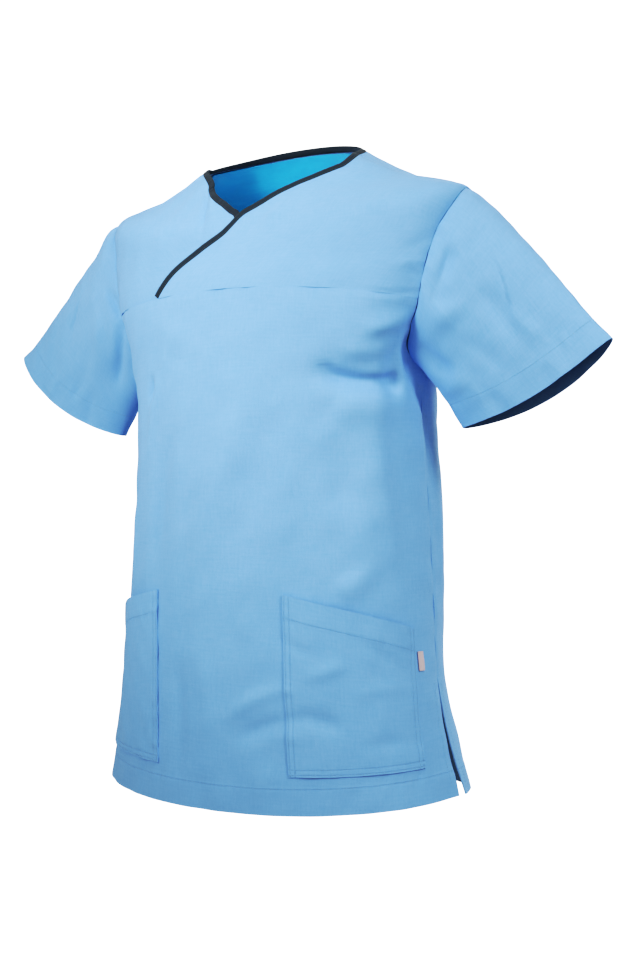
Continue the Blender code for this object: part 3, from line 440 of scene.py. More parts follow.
def crease_heights(creases, points, surface):
    """How far the creases lift each point of a surface."""
    flat_points = points.reshape(-1, 3)
    heights = np.zeros(len(flat_points))
    for crease in creases:
        line, along, outward = crease_line(crease, surface)
        reach = 3.0 * max(crease.left, crease.right)
        low, high = line.min(axis=0) - reach, line.max(axis=0) + reach
        near = np.flatnonzero(((flat_points > low) & (flat_points < high)).all(axis=1))
        if not len(near):
            continue
        gap = flat_points[near][:, None] - line[None]
        closest = (gap ** 2).sum(axis=-1).argmin(axis=1)
        gap = gap[np.arange(len(near)), closest]
        direction, normal = along[closest], outward[closest]
        past = (gap * direction).sum(axis=-1)
        aside = (gap * np.cross(normal, direction)).sum(axis=-1)
        run = np.linalg.norm(np.diff(line, axis=0), axis=1).mean()
        share = (closest + past / run) / (len(line) - 1)
        past_end = np.where(closest == len(line) - 1, np.maximum(past, 0), 0)
        beyond = np.where(closest == 0, np.minimum(past, 0), past_end)
        away = np.hypot(aside, beyond) + 1e-9
        width = crease.right + (crease.left - crease.right) * (0.5 + 0.5 * aside / away)
        depth = np.abs((gap * normal).sum(axis=-1))
        swell_in = crease.start + (1 - crease.start) * smooth_step(share / 0.45)
        swell_out = crease.finish + (1 - crease.finish) * smooth_step((1 - share) / 0.45)
        near_by = depth < 2.5 * reach
        heights[near] += crease.height * np.exp(-(away / width) ** 2) * swell_in * swell_out * near_by
    return heights.reshape(points.shape[:-1])


def bare_surface(angle, level):
    return bare_form(angle, level), form_normal(angle, level)


def cloth(angle, level, lift=0.0):
    """A point of the creased cloth, lifted off it along the form's outward direction."""
    angle, level = np.broadcast_arrays(np.asarray(angle, dtype=float), np.asarray(level, dtype=float))
    points, outward = bare_surface(angle, level)
    strength = bpy.context.scene.blouse_sizes.crease_strength
    height = fold_height(angle, level) + strength * crease_heights(BODY_CREASES, points, bare_surface) + lift
    return points + outward * height[..., None]


def place(x, z):
    """The angle and level of the point of the form's front that lies at x and z."""
    levels = np.linspace(0.0, len(FORM) - 1.0, 901)
    sizes = through_rings(levels)
    side_z, front_z, half_width = sizes[:, 1], sizes[:, 0], sizes[:, 3]
    across = np.clip(x / half_width, -1.0, 1.0)
    heights = side_z + (front_z - side_z) * (1.0 - across ** 2)
    level = np.interp(z, heights, levels)
    angle = np.degrees(np.arcsin(np.interp(level, levels, across)))
    return float(angle), float(level)


# ---- Seam lines, as angles and levels --------------------------------------------------------
def armhole(turn, side=1):
    """A point of an armhole: 0 under the arm, 180 at the shoulder, forward in between."""
    turn = np.radians(turn)
    reach = np.where(np.sin(turn) > 0, ARMHOLE_FRONT, ARMHOLE_BACK)
    rise = (LEVEL["shoulder"] - LEVEL["underarm"]) / 2
    angle = side * (SIDE_ANGLE - reach * np.sin(turn))
    return np.stack([angle, LEVEL["underarm"] + rise * (1 - np.cos(turn))], axis=-1)


def armhole_turn(level):
    """The turn at which the armhole passes a level."""
    rise = (LEVEL["shoulder"] - LEVEL["underarm"]) / 2
    return math.degrees(math.acos(1 - (level - LEVEL["underarm"]) / rise))


def smooth_line(points, steps):
    """An even line of steps + 1 places through a few places."""
    points = np.array(points, dtype=float)
    padded = np.vstack([2 * points[0] - points[1], points, 2 * points[-1] - points[-2]])
    part = np.linspace(0.0, 1.0, 40, endpoint=False)[:, None]
    fine = []
    for before, start, end, after in zip(padded, padded[1:], padded[2:], padded[3:]):
        fine.append(0.5 * (2 * start + (end - before) * part
                           + (2 * before - 5 * start + 4 * end - after) * part ** 2
                           + (3 * start - before - 3 * end + after) * part ** 3))
    fine = np.vstack(fine + [points[-1:]])
    places = bare_form(fine[:, 0], fine[:, 1])
    run = np.concatenate([[0.0], np.cumsum(np.linalg.norm(np.diff(places, axis=0), axis=1))])
    even = np.linspace(0.0, run[-1], steps + 1)
    return np.stack([np.interp(even, run, fine[:, 0]), np.interp(even, run, fine[:, 1])], axis=-1)


def wrap_edge(steps, side=1):
    """The over yoke's neck edge from the yoke seam up to the neck, or with side -1 the under yoke's."""
    points = [(SIDE_ANGLE, LEVEL["neck"])]
    points += [place(point.x, point.z) for point in (OVER_EDGE if side > 0 else UNDER_EDGE)]
    points[-1] = (points[-1][0], YOKE_LEVEL)
    return smooth_line(points, steps)[::-1] * np.array([side, 1.0])


def under_lift(angle, level):
    """How deep the under yoke lies: full behind the over yoke, none at its own armhole."""
    edge = wrap_edge(EDGE_STEPS)
    edge = edge[:edge[:, 1].argmax() + 1]
    edge_angle = np.interp(level, edge[:, 1], edge[:, 0])
    return -UNDER_DEPTH * (1.0 - smooth_step((edge_angle - angle - COVER_FULL) / COVER_FADE))


def flat(angle, level):
    return np.zeros(np.broadcast(angle, level).shape)


# ---- Patches ---------------------------------------------------------------------------------
Runs = namedtuple("Runs", "left right low high")


def between(low, high, left, right):
    """The grid of places between four lines of places that share their corners."""
    across = np.linspace(0.0, 1.0, len(low))[None, :, None]
    up = np.linspace(0.0, 1.0, len(left))[:, None, None]
    ruled_up = (1 - up) * low[None] + up * high[None]
    ruled_across = (1 - across) * left[:, None] + across * right[:, None]
    corners = ((1 - up) * ((1 - across) * low[0] + across * low[-1])
               + up * ((1 - across) * high[0] + across * high[-1]))
    return ruled_up + ruled_across - corners


def crowded(steps):
    """Even shares from 0 to 1, closer together at both ends."""
    part = np.linspace(0.0, 1.0, steps + 1)
    return part - EDGE_CROWDING * np.sin(2 * math.pi * part) / (2 * math.pi)


def runs_of(points):
    """Metres along the cloth from each of a grid's four edges."""
    across = np.linalg.norm(np.diff(points, axis=1), axis=-1)
    up = np.linalg.norm(np.diff(points, axis=0), axis=-1)
    left = np.concatenate([np.zeros((len(points), 1)), np.cumsum(across, axis=1)], axis=1)
    low = np.concatenate([np.zeros((1, points.shape[1])), np.cumsum(up, axis=0)], axis=0)
    return Runs(left, left[:, -1:] - left, low, low[-1:] - low)


def drawn_in(points, low=0.0, high=0.0, left=0.0, right=0.0):
    """Move a grid's edges in by the given gaps, along the grid's own lines."""
    points = points.copy()
    for gap, edge, inner in ((low, np.s_[0], np.s_[1]), (high, np.s_[-1], np.s_[-2]),
                             (left, np.s_[:, 0], np.s_[:, 1]), (right, np.s_[:, -1], np.s_[:, -2])):
        step = points[inner] - points[edge]
        points[edge] = points[edge] + gap * unit(step)
    return points


def wavy(run, pitch, seed):
    """An uneven wave along a run, between about -1 and 1."""
    random = np.random.default_rng(seed)
    wave = np.zeros(np.shape(run))
    for share in (0.62, 0.87, 1.0, 1.31, 1.73):
        wave = wave + np.sin(2 * math.pi * run / (pitch * share) + random.uniform(0, 2 * math.pi))
    swell = 0.55 + 0.45 * np.sin(2 * math.pi * run / (pitch * 6.3) + random.uniform(0, 2 * math.pi))
    return wave / 3.2 * swell


def turned(run, depth):
    """The step where cloth is turned up and lies double."""
    return DOUBLED * smooth_step((depth - run) / TURN_EDGE + 0.5)


def seam_dip(run, sink=SEAM_SINK, reach=SEAM_REACH):
    return -sink * np.exp(-(run / reach) ** 2)


def stitch_dip(run, at):
    return -STITCH_SINK * np.exp(-((run - at) / STITCH_REACH) ** 2)


def puckers(away, run, depth, reach, pitch, seed):
    """Small uneven ripples across a seam or a row of stitches, dying away from it."""
    return depth * np.exp(-(away / reach) ** 2) * wavy(run, pitch, seed)


def rumple(points, seed, depth=0.0004):
    """A slight unevenness all over, so that no stretch of cloth is quite smooth."""
    random = np.random.default_rng(seed)
    height = np.zeros(points.shape[:-1])
    for size in (0.055, 0.038, 0.026, 0.047, 0.031):
        way = unit(random.normal(size=3)) / size
        height = height + np.sin(2 * math.pi * (points @ way) + random.uniform(0, 2 * math.pi))
    return depth * height / 2.2


# ---- Shader maths ----------------------------------------------------------------------------
class Amount:
    """A number that varies over a surface; arithmetic on it adds Math nodes."""

    def __init__(self, finish, socket):
        self.finish, self.socket = finish, socket

    def _math(self, operation, *others, flip=False, clamp=False):
        values = [self, *others]
        if flip:
            values.reverse()
        return self.finish.node("ShaderNodeMath", {"operation": operation, "use_clamp": clamp},
                                dict(enumerate(values)))

    def __add__(self, other):
        return self._math("ADD", other)

    __radd__ = __add__

    def __sub__(self, other):
        return self._math("SUBTRACT", other)

    def __rsub__(self, other):
        return self._math("SUBTRACT", other, flip=True)

    def __mul__(self, other):
        return self._math("MULTIPLY", other)

    def __truediv__(self, other):
        return self._math("DIVIDE", other)

    def __abs__(self):
        return self._math("ABSOLUTE")

    def sine(self):
        return self._math("SINE")

    def largest(self, other):
        return self._math("MAXIMUM", other)

    def clamped(self):
        return self._math("ADD", 0.0, clamp=True)


class Finish:
    """A material that is made node by node."""

    def __init__(self, name):
        self.material = bpy.data.materials.new(name)
        self.material.use_nodes = True
        self.tree = self.material.node_tree
        self.shader = self.tree.nodes["Principled BSDF"]

    def node(self, kind, settings, inputs, output=0):
        """Add a node: its settings first, then the values or links of its sockets."""
        made = self.tree.nodes.new(kind)
        for name, value in settings.items():
            setattr(made, name, value)
        for name, value in inputs.items():
            self.put(made.inputs[name], value)
        return Amount(self, made.outputs[output])

    def put(self, socket, value):
        if isinstance(value, Amount):
            self.tree.links.new(value.socket, socket)
        else:
            socket.default_value = value

    def map(self, name):
        return self.node("ShaderNodeUVMap", {"uv_map": name}, {})

    def parts(self, vector):
        """A vector's first two numbers."""
        first = self.node("ShaderNodeSeparateXYZ", {}, {0: vector})
        return [Amount(self, output) for output in first.socket.node.outputs[:2]]

    def noise(self, vector, scale, detail=2.0, stretch=(1.0, 1.0, 1.0)):
        place_on = self.node("ShaderNodeMapping", {}, {"Vector": vector, "Scale": stretch})
        return self.node("ShaderNodeTexNoise", {"noise_dimensions": "3D"},
                         {"Vector": place_on, "Scale": scale, "Detail": detail}, output="Fac")

    def mix(self, share, first, second):
        return self.node("ShaderNodeMix", {"data_type": "RGBA"},
                         {0: share, 6: first, 7: second}, output=2)

    def bump(self, height, distance, strength=1.0, under=None):
        sockets = {"Height": height, "Distance": distance, "Strength": strength}
        if under is not None:
            sockets["Normal"] = under
        return self.node("ShaderNodeBump", {}, sockets)

    def finish(self, base, normal, roughness, sheen=0.0, sheen_roughness=0.5, sheen_tint=(1, 1, 1, 1),
               specular=0.5):
        self.put(self.shader.inputs["Base Color"], base)
        self.put(self.shader.inputs["Normal"], normal)
        self.put(self.shader.inputs["Roughness"], roughness)
        self.shader.inputs["Sheen Weight"].default_value = sheen
        self.shader.inputs["Sheen Roughness"].default_value = sheen_roughness
        self.shader.inputs["Sheen Tint"].default_value = sheen_tint
        self.shader.inputs["Specular IOR Level"].default_value = specular
        return self.material


def near_line(run, at, reach):
    """1 on a line at the given run from an edge, 0 beyond its reach."""
    return (1.0 - abs(run - at) / reach).clamped()


EdgeLine = namedtuple("EdgeLine", "edge at")


def twill_finish(name, colour, dark, lines=(), sheen=0.14):
    """Fine twill: diagonal ribs, uneven yarn, soft cloudiness, and a groove along each row of stitches whose colour
    is darkened as painted shade.
    """
    finish = Finish(name)
    sizes = bpy.context.scene.blouse_sizes
    near, far, grain = finish.map("from_low_left"), finish.map("from_high_right"), finish.map("grain")
    left, low = finish.parts(near)
    right, high = finish.parts(far)
    weft, warp = finish.parts(grain)
    runs = {"left": left, "low": low, "right": right, "high": high}
    turns = 2 * math.pi / sizes.weave_pitch
    yarn = finish.noise(grain, 1400.0, 2.0, (1.0, 0.35, 1.0))
    rib = ((weft * turns) + (warp * (turns * 0.72)) + yarn * 2.2).sine() * 0.5 + 0.5
    cross = ((weft * (turns * 0.9)) - (warp * (turns * 1.35))).sine() * 0.5 + 0.5
    weave = rib * 0.75 + cross * 0.25
    fleck = finish.noise(grain, 520.0, 3.0, (1.0, 0.5, 1.0))
    slub = (finish.noise(grain, 420.0, 2.0, (0.10, 1.0, 1.0))
            + finish.noise(grain, 420.0, 2.0, (1.0, 0.12, 1.0)))
    cloud = finish.noise(grain, 9.0, 3.0)
    groove = None
    for line in lines:
        here = near_line(runs[line.edge], line.at, GROOVE_REACH)
        groove = here if groove is None else groove.largest(here)
    shade = (weave - 0.5) * 0.16 + (fleck - 0.5) * 0.32 + (slub - 1.0) * 0.30 + (cloud - 0.5) * 0.24 + 0.42
    if groove is not None:
        # Painted shade: the colour is darkened along each groove of stitches.
        shade = shade - groove * 0.12
    base = finish.mix(shade.clamped(), dark, colour)
    normal = finish.bump(weave + fleck * 0.8 + slub * 0.8, 0.00016, 0.75)
    if groove is not None:
        normal = finish.bump(1.0 - groove, 0.0003, 0.8, normal)
    rough = 0.80 + (fleck - 0.5) * 0.12
    return finish.finish(base, normal, rough, sheen=sheen, sheen_roughness=0.45,
                         sheen_tint=(0.85, 0.93, 1.0, 1.0), specular=0.22)


def shaded_inside_finish(name, colour):
    """The wrong side of the twill: flatter, and deeper in colour as painted shade for the garment's inside."""
    finish = Finish(name)
    near = finish.map("from_low_left")
    left, low = finish.parts(near)
    turns = 2 * math.pi / bpy.context.scene.blouse_sizes.weave_pitch
    rib = ((left * turns) - (low * (turns * 0.72))).sine() * 0.5 + 0.5
    fleck = finish.noise(near, 520.0, 3.0)
    deep = tuple(0.72 * part for part in colour[:3]) + (1.0,)
    base = finish.mix((rib * 0.3 + fleck * 0.7).clamped(), deep, colour)
    return finish.finish(base, finish.bump(rib, 0.00012, 0.6), 0.88, sheen=0.1, specular=0.2)


def knit_finish(name, colour, dark):
    """An open mesh knit: rows of small holes on a slant, between round ribs, with painted shade in the holes and a
    stretched cloud painting the light and shade of small folds.
    """
    finish = Finish(name)
    near = finish.map("from_low_left")
    left, low = finish.parts(near)
    turns = 2 * math.pi / KNIT_PITCH
    one = ((left * turns) + (low * turns)).sine()
    two = ((left * turns) - (low * turns)).sine()
    holes = (one * two * 0.5 + 0.5).clamped()
    fleck = finish.noise(near, 260.0, 3.0)
    cloud = finish.noise(near, 26.0, 2.0, (1.0, 2.4, 1.0))
    # Painted shade and light: the holes are darkened, and the stretched cloud stands in for the shading of small
    # folds.
    shade = (holes - 0.5) * 0.55 + (fleck - 0.5) * 0.5 + (cloud - 0.5) * 0.7 + 0.55
    base = finish.mix(shade.clamped(), dark, colour)
    normal = finish.bump(holes + fleck * 0.3, 0.0004, 0.9)
    return finish.finish(base, normal, 0.62, sheen=0.3, specular=0.4)


def tape_finish(name, colour):
    """Plain woven tape with a fine cross rib and nothing on it."""
    finish = Finish(name)
    near = finish.map("from_low_left")
    left, low = finish.parts(near)
    rib = (low * (2 * math.pi / TAPE_PITCH)).sine() * 0.5 + 0.5
    fleck = finish.noise(near, 700.0, 2.0)
    deep = tuple(0.82 * part for part in colour[:3]) + (1.0,)
    base = finish.mix((rib * 0.5 + fleck * 0.5).clamped(), deep, colour)
    return finish.finish(base, finish.bump(rib, 0.00012, 0.7), 0.5, sheen=0.2)


def thread_finish(name, colour):
    """Spun sewing thread, lighter and darker along its twist."""
    finish = Finish(name)
    where = finish.node("ShaderNodeTexCoord", {}, {}, output="Object")
    ply = finish.noise(where, 2600.0, 2.0)
    deep = tuple(0.7 * part for part in colour[:3]) + (1.0,)
    base = finish.mix(ply, deep, colour)
    return finish.finish(base, finish.bump(ply, 0.00008, 0.6), 0.6, sheen=0.2)


# ---- Making the pieces -----------------------------------------------------------------------
def new_object(name, data):
    piece = bpy.data.objects.new(name, data)
    bpy.context.scene.collection.objects.link(piece)
    return piece


def only(piece):
    bpy.ops.object.select_all(action="DESELECT")
    piece.select_set(True)
    bpy.context.view_layer.objects.active = piece


def grid_object(name, points, runs, materials, wall, tube=False):
    """A thin shell of cloth on a grid of points: rows run up, columns run round to the wearer's left."""
    rows, columns = points.shape[:2]
    number = np.arange(rows * columns).reshape(rows, columns)
    corners = np.stack([number[:-1, :-1], number[:-1, 1:], number[1:, 1:], number[1:, :-1]], axis=-1)
    corners = corners.reshape(-1, 4)
    data = bpy.data.meshes.new(name)
    data.from_pydata(points.reshape(-1, 3).tolist(), [], corners.tolist())
    flat_corners = corners.reshape(-1)
    middle_column = columns // 2
    straight = np.broadcast_to(runs.low[:, middle_column:middle_column + 1], runs.low.shape)
    from_middle = runs.left - runs.left[:, middle_column:middle_column + 1]
    for map_name, across, up in (("from_low_left", runs.left, runs.low),
                                 ("from_high_right", runs.right, runs.high),
                                 ("grain", from_middle, straight)):
        uv = np.stack([across.reshape(-1)[flat_corners], up.reshape(-1)[flat_corners]], axis=-1)
        data.uv_layers.new(name=map_name).data.foreach_set("uv", uv.reshape(-1).astype(np.float32))
    for material in materials:
        data.materials.append(material)
    piece = new_object(name, data)
    only(piece)
    if tube:
        weld = piece.modifiers.new("close the tube", "WELD")
        weld.merge_threshold = TUBE_WELD
        bpy.ops.object.modifier_apply(modifier=weld.name)
    thicken = piece.modifiers.new("wall", "SOLIDIFY")
    thicken.thickness = wall
    thicken.offset = -1.0
    # With two materials the shell's inner side takes the second: for the outer cloth, its wrong side darkened as
    # painted shade.
    thicken.material_offset = len(materials) - 1
    bpy.ops.object.modifier_apply(modifier=thicken.name)
    bpy.ops.object.shade_smooth_by_angle(angle=SMOOTH_ANGLE)
    return piece


def settle(piece, node):
    """Let a piece ride and stand for its solid."""
    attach(piece, "root")
    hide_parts(node)


def line_at(points, run, at, rising=True):
    """The line across a grid's columns where a run reaches a value."""
    line = []
    for column in range(points.shape[1]):
        runs, places = run[:, column], points[:, column]
        if not rising:
            runs, places = runs[::-1], places[::-1]
        line.append([np.interp(at, runs, places[:, axis]) for axis in range(3)])
    return np.array(line)


def line_up(points, run, at, rising=True):
    """The line up a grid's rows where a run reaches a value."""
    return line_at(np.swapaxes(points, 0, 1), run.T, at, rising)


def grid_outward(points):
    return unit(np.cross(np.gradient(points, axis=1), np.gradient(points, axis=0)))


def stitch_mesh(name, lines, material, pitch=None):
    """Rows of separate stitches: one small rounded shape copied along each line.

    A line is its points and their outward directions.
    """
    sizes = bpy.context.scene.blouse_sizes
    pitch = pitch or sizes.stitch_pitch
    length = pitch * STITCH_SHARE
    radius = sizes.thread_thickness / 2
    bpy.ops.object.select_all(action="DESELECT")
    bpy.ops.mesh.primitive_uv_sphere_add(segments=6, ring_count=4, radius=1.0)
    model = bpy.context.object
    shape = np.array([vertex.co[:] for vertex in model.data.vertices])
    faces = [tuple(face.vertices) for face in model.data.polygons]
    bpy.data.objects.remove(model, do_unlink=True)
    shape = shape[:, [2, 0, 1]]
    shape[:, 0] = np.sign(shape[:, 0]) * np.abs(shape[:, 0]) ** 0.55
    random = np.random.default_rng(7)
    vertices, polygons = [], []
    for line, outward in lines:
        steps = np.linalg.norm(np.diff(line, axis=0), axis=1)
        run = np.concatenate([[0.0], np.cumsum(steps)])
        count = int(run[-1] / pitch)
        for number in range(count):
            middle = (number + 0.5) * run[-1] / count
            ends = [np.array([np.interp(middle + way * length / 2, run, line[:, axis]) for axis in range(3)])
                    for way in (-1, 1)]
            up = np.array([np.interp(middle, run, outward[:, axis]) for axis in range(3)])
            along = unit(ends[1] - ends[0])
            across = unit(np.cross(up, along))
            up = np.cross(along, across)
            size = np.array([length / 2, radius, radius * random.uniform(0.85, 1.1)])
            bend = 1 - 0.9 * (shape[:, :1] ** 2)
            body = (shape * size) @ np.array([along, across, up]) + (ends[0] + ends[1]) / 2
            body = body + up * (radius * 0.75 * bend - radius * 0.25)
            start = len(vertices)
            vertices.extend(body.tolist())
            polygons.extend(tuple(start + corner for corner in face) for face in faces)
    data = bpy.data.meshes.new(name)
    data.from_pydata(vertices, [], polygons)
    data.materials.append(material)
    data.shade_smooth()
    return new_object(name, data)


def sewn(name, lines, material, pitch=None):
    """Sew rows of stitches that ride with the cloth."""
    piece = stitch_mesh(name, lines, material, pitch)
    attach(piece, "root")
    return piece


def seam_lines(points, spots):
    """The stitch lines of a grid: points with outward directions, for each edge and distance from it."""
    runs, outward = runs_of(points), grid_outward(points)
    lines = []
    for spot in spots:
        run = getattr(runs, spot.edge)
        pick = line_at if spot.edge in ("low", "high") else line_up
        rising = spot.edge in ("low", "left")
        line, up = pick(points, run, spot.at, rising), unit(pick(outward, run, spot.at, rising))
        lines.append((line, up))
    return lines


def trimmed(line, start, end):
    """A share of a line and its outward directions."""
    points, outward = line
    return points[start:end], outward[start:end]


def colours():
    return bpy.context.scene.blouse_colours


def tone(colour):
    return tuple(colour) + (1.0,)


def outer_pair(name, lines=()):
    """The right side, and the wrong side darkened as painted shade, of the outer cloth for one piece."""
    paint = colours()
    return [twill_finish(f"{name}_twill", tone(paint.outer), tone(paint.outer_deep), lines),
            shaded_inside_finish(f"{name}_wrong_side", tone(paint.inner))]


def outer_thread():
    return bpy.data.materials.get("outer_thread") or thread_finish("outer_thread", tone(colours().thread))


def body_rows(armhole_turns, top_level):
    """The levels of a body panel's rows: hem, slit, side seam, armhole and shoulder seam."""
    hem = np.linspace(LEVEL["hem"], HEM_LEVEL, HEM_ROWS + 1)
    slit = np.linspace(HEM_LEVEL, LEVEL["slit top"], SLIT_ROWS + 1)[1:]
    seam = np.linspace(LEVEL["slit top"], LEVEL["underarm"], SIDE_ROWS + 1)[1:]
    arm = armhole(armhole_turns[1:])[:, 1]
    shoulder = []
    if top_level > LEVEL["shoulder"]:
        shoulder = np.linspace(LEVEL["shoulder"], top_level, SHOULDER_ROWS + 1)[1:]
    return np.concatenate([hem, slit, seam, arm, shoulder])


def side_edge(levels, reach, parting):
    """Degrees from the side to a panel's edge: the slit, the seam, the armhole, the shoulder."""
    low, high = LEVEL["underarm"], LEVEL["shoulder"]
    on_armhole = (levels > low) & (levels < high)
    rise = (high - low) / 2
    depth = np.sqrt(np.clip(1 - (1 - (levels - low) / rise) ** 2, 0.0, 1.0))
    slit = np.interp(levels, [row.level for row in SLIT], parting)
    return np.where(on_armhole, reach * depth, slit)


def low_front_turns():
    return np.linspace(0.0, armhole_turn(YOKE_LEVEL), ARM_LOW_ROWS + 1)


def yoke_turns():
    return np.linspace(armhole_turn(YOKE_LEVEL), BACK_ANGLE, YOKE_ROWS + 1)


def back_turns():
    return np.linspace(0.0, BACK_ANGLE, ARM_BACK_ROWS + 1)


def panel_relief(points, levels, seeds):
    """Hem, slit turnings, seam dips and puckers of a front or back panel."""
    sizes = bpy.context.scene.blouse_sizes
    runs = runs_of(points)
    level = levels[:, None]
    in_slit = smooth_step((LEVEL["slit top"] - level) / 0.06 + 0.3)
    relief = turned(runs.low, sizes.hem_depth) + stitch_dip(runs.low, sizes.hem_depth - ROW_ABOVE)
    relief = relief + puckers(runs.low - sizes.hem_depth, runs.left, 0.00055, 0.011, 0.024, seeds)
    relief = relief + puckers(runs.low, runs.left, 0.0008, 0.02, 0.075, seeds + 1)
    for number, run in enumerate((runs.left, runs.right)):
        slit_ripples = puckers(run - sizes.slit_turning, runs.low, 0.0004, 0.006, 0.02, seeds + 2 + number)
        seam_ripples = puckers(run, runs.low, 0.0003, 0.013, 0.03, seeds + 4 + number)
        relief = relief + in_slit * (turned(run, sizes.slit_turning)
                                     + stitch_dip(run, sizes.slit_turning - ROW_ABOVE) + slit_ripples)
        relief = relief + (1 - in_slit) * (seam_dip(run) + seam_ripples)
    return runs, relief + rumple(points, seeds + 9)


def front_body():
    """The front below the yoke seam, from slit edge and side seam to armhole."""
    levels = body_rows(low_front_turns(), YOKE_LEVEL)
    edge = SIDE_ANGLE - side_edge(levels, ARMHOLE_FRONT, [row.front for row in SLIT])
    angles = edge[:, None] * (2 * crowded(FRONT_COLUMNS) - 1)
    level = np.repeat(levels[:, None], angles.shape[1], axis=1)
    points = cloth(angles, level)
    runs, relief = panel_relief(points, levels, 11)
    relief = relief + seam_dip(runs.high, 0.0005, 0.003)
    relief = relief + puckers(runs.high, runs.left, 0.0003, 0.008, 0.022, 17)
    points = drawn_in(points + form_normal(angles, level) * relief[..., None],
                      high=HALF_GAP, left=HALF_GAP, right=HALF_GAP)
    return points, levels


def back_body():
    """The whole back, up to the shoulder seams and the neck binding."""
    levels = body_rows(back_turns(), LEVEL["neck"])
    edge = SIDE_ANGLE - side_edge(levels, ARMHOLE_BACK, [row.back for row in SLIT])
    angles = BACK_ANGLE + edge[:, None] * (2 * crowded(BACK_COLUMNS) - 1)
    level = np.repeat(levels[:, None], angles.shape[1], axis=1)
    points = cloth(angles, level)
    runs, relief = panel_relief(points, levels, 31)
    below_neck = np.minimum(runs.high / 0.01, 1.0)
    side_gap = np.where(levels > LEVEL["upper"], RIDGE_GAP, HALF_GAP)[:, None]
    points = drawn_in(points + form_normal(angles, level) * (relief * below_neck)[..., None],
                      high=HALF_GAP, left=side_gap, right=side_gap)
    return points, levels


def yoke_grid(side, lift, seed):
    """One half of the front yoke: yoke seam, armhole, shoulder seam and neck edge."""
    neck_edge = wrap_edge(YOKE_ROWS, side) * np.array([side, 1.0])
    arm_edge = armhole(yoke_turns())
    part = np.linspace(0.0, 1.0, YOKE_COLUMNS + 1)[:, None]
    low = (1 - part) * neck_edge[0] + part * arm_edge[0]
    high = (1 - part) * neck_edge[-1] + part * arm_edge[-1]
    places = between(low, high, neck_edge, arm_edge)
    angle, level = side * places[..., 0], places[..., 1]
    points = cloth(angle, level, lift(angle, level))
    outward = form_normal(angle, level)
    if side < 0:
        points, outward = points[:, ::-1], outward[:, ::-1]
    runs = runs_of(points)
    arm, neck = (runs.right, runs.left) if side > 0 else (runs.left, runs.right)
    relief = seam_dip(arm) + seam_dip(runs.high) + seam_dip(neck, 0.0004, 0.003)
    relief = relief + puckers(arm, runs.low, 0.0007, 0.012, 0.03, seed)
    relief = relief + puckers(runs.high, runs.left, 0.0004, 0.01, 0.02, seed + 1)
    relief = relief + puckers(neck, runs.low, 0.0004, 0.008, 0.018, seed + 2)
    relief = relief + puckers(runs.low, runs.left, 0.0003, 0.008, 0.022, seed + 3)
    relief = relief + stitch_dip(runs.low, 0.0015) + rumple(points, seed + 9)
    relief = relief * np.minimum(neck / 0.004, 1.0)
    points = points + outward * relief[..., None]
    neck_side, arm_side = ("left", "right") if side > 0 else ("right", "left")
    return drawn_in(points, **{"low": SKEW_GAP, "high": RIDGE_GAP, neck_side: HALF_GAP, arm_side: HALF_GAP})


def sleeve_form(cuff, turn, along):
    """A point of a sleeve before its creases, by its turn round the arm and its share of the way down."""
    side = cuff.side
    turn, along = np.broadcast_arrays(np.asarray(turn, dtype=float), np.asarray(along, dtype=float))
    seam = armhole(turn, side)
    angle, level = seam[..., 0], seam[..., 1]
    start = bare_form(angle, level) + form_normal(angle, level) * fold_height(angle, level)[..., None]
    rise = ((1 - np.cos(np.radians(turn))) / 2)[..., None]
    forward = np.sin(np.radians(turn))[..., None]
    mirror = np.array([side, 1.0, 1.0])
    cuff_low = np.array([cuff.low_out, CUFF_Y, cuff.low_z])
    span = np.array([cuff.top_out, CUFF_Y, cuff.top_z]) - cuff_low
    hang = np.array([span[2], 0.0, -span[0]]) / math.hypot(span[0], span[2])
    end = cuff_low + span * rise + hang * CUFF_BULGE * forward ** 2
    end = end - np.array([0.0, CUFF_HALF_DEPTH, 0.0]) * forward
    leave_top = np.array([cuff.cap_out, 0.0, cuff.cap_z])
    reach_top = np.array([cuff.reach_out, 0.0, cuff.reach_z])
    leave = ((1 - rise) * np.array(LEAVE_LOW) + rise * leave_top) * mirror
    reach = ((1 - rise) * np.array(REACH_LOW) + rise * reach_top) * mirror
    part = along[..., None]
    return ((2 * part ** 3 - 3 * part ** 2 + 1) * start + (part ** 3 - 2 * part ** 2 + part) * leave
            + (3 * part ** 2 - 2 * part ** 3) * end * mirror + (part ** 3 - part ** 2) * reach)


def sleeve_surface(cuff):
    """The sleeve's points and outward directions at any place."""
    def surface(turn, along):
        small_turn, small_share = 0.5, 0.01
        low, high = np.clip(along - small_share, 0.0, 1.0), np.clip(along + small_share, 0.0, 1.0)
        around = sleeve_form(cuff, turn + small_turn, along) - sleeve_form(cuff, turn - small_turn, along)
        down = sleeve_form(cuff, turn, high) - sleeve_form(cuff, turn, low)
        return sleeve_form(cuff, turn, along), unit(np.cross(down, around)) * cuff.side
    return surface


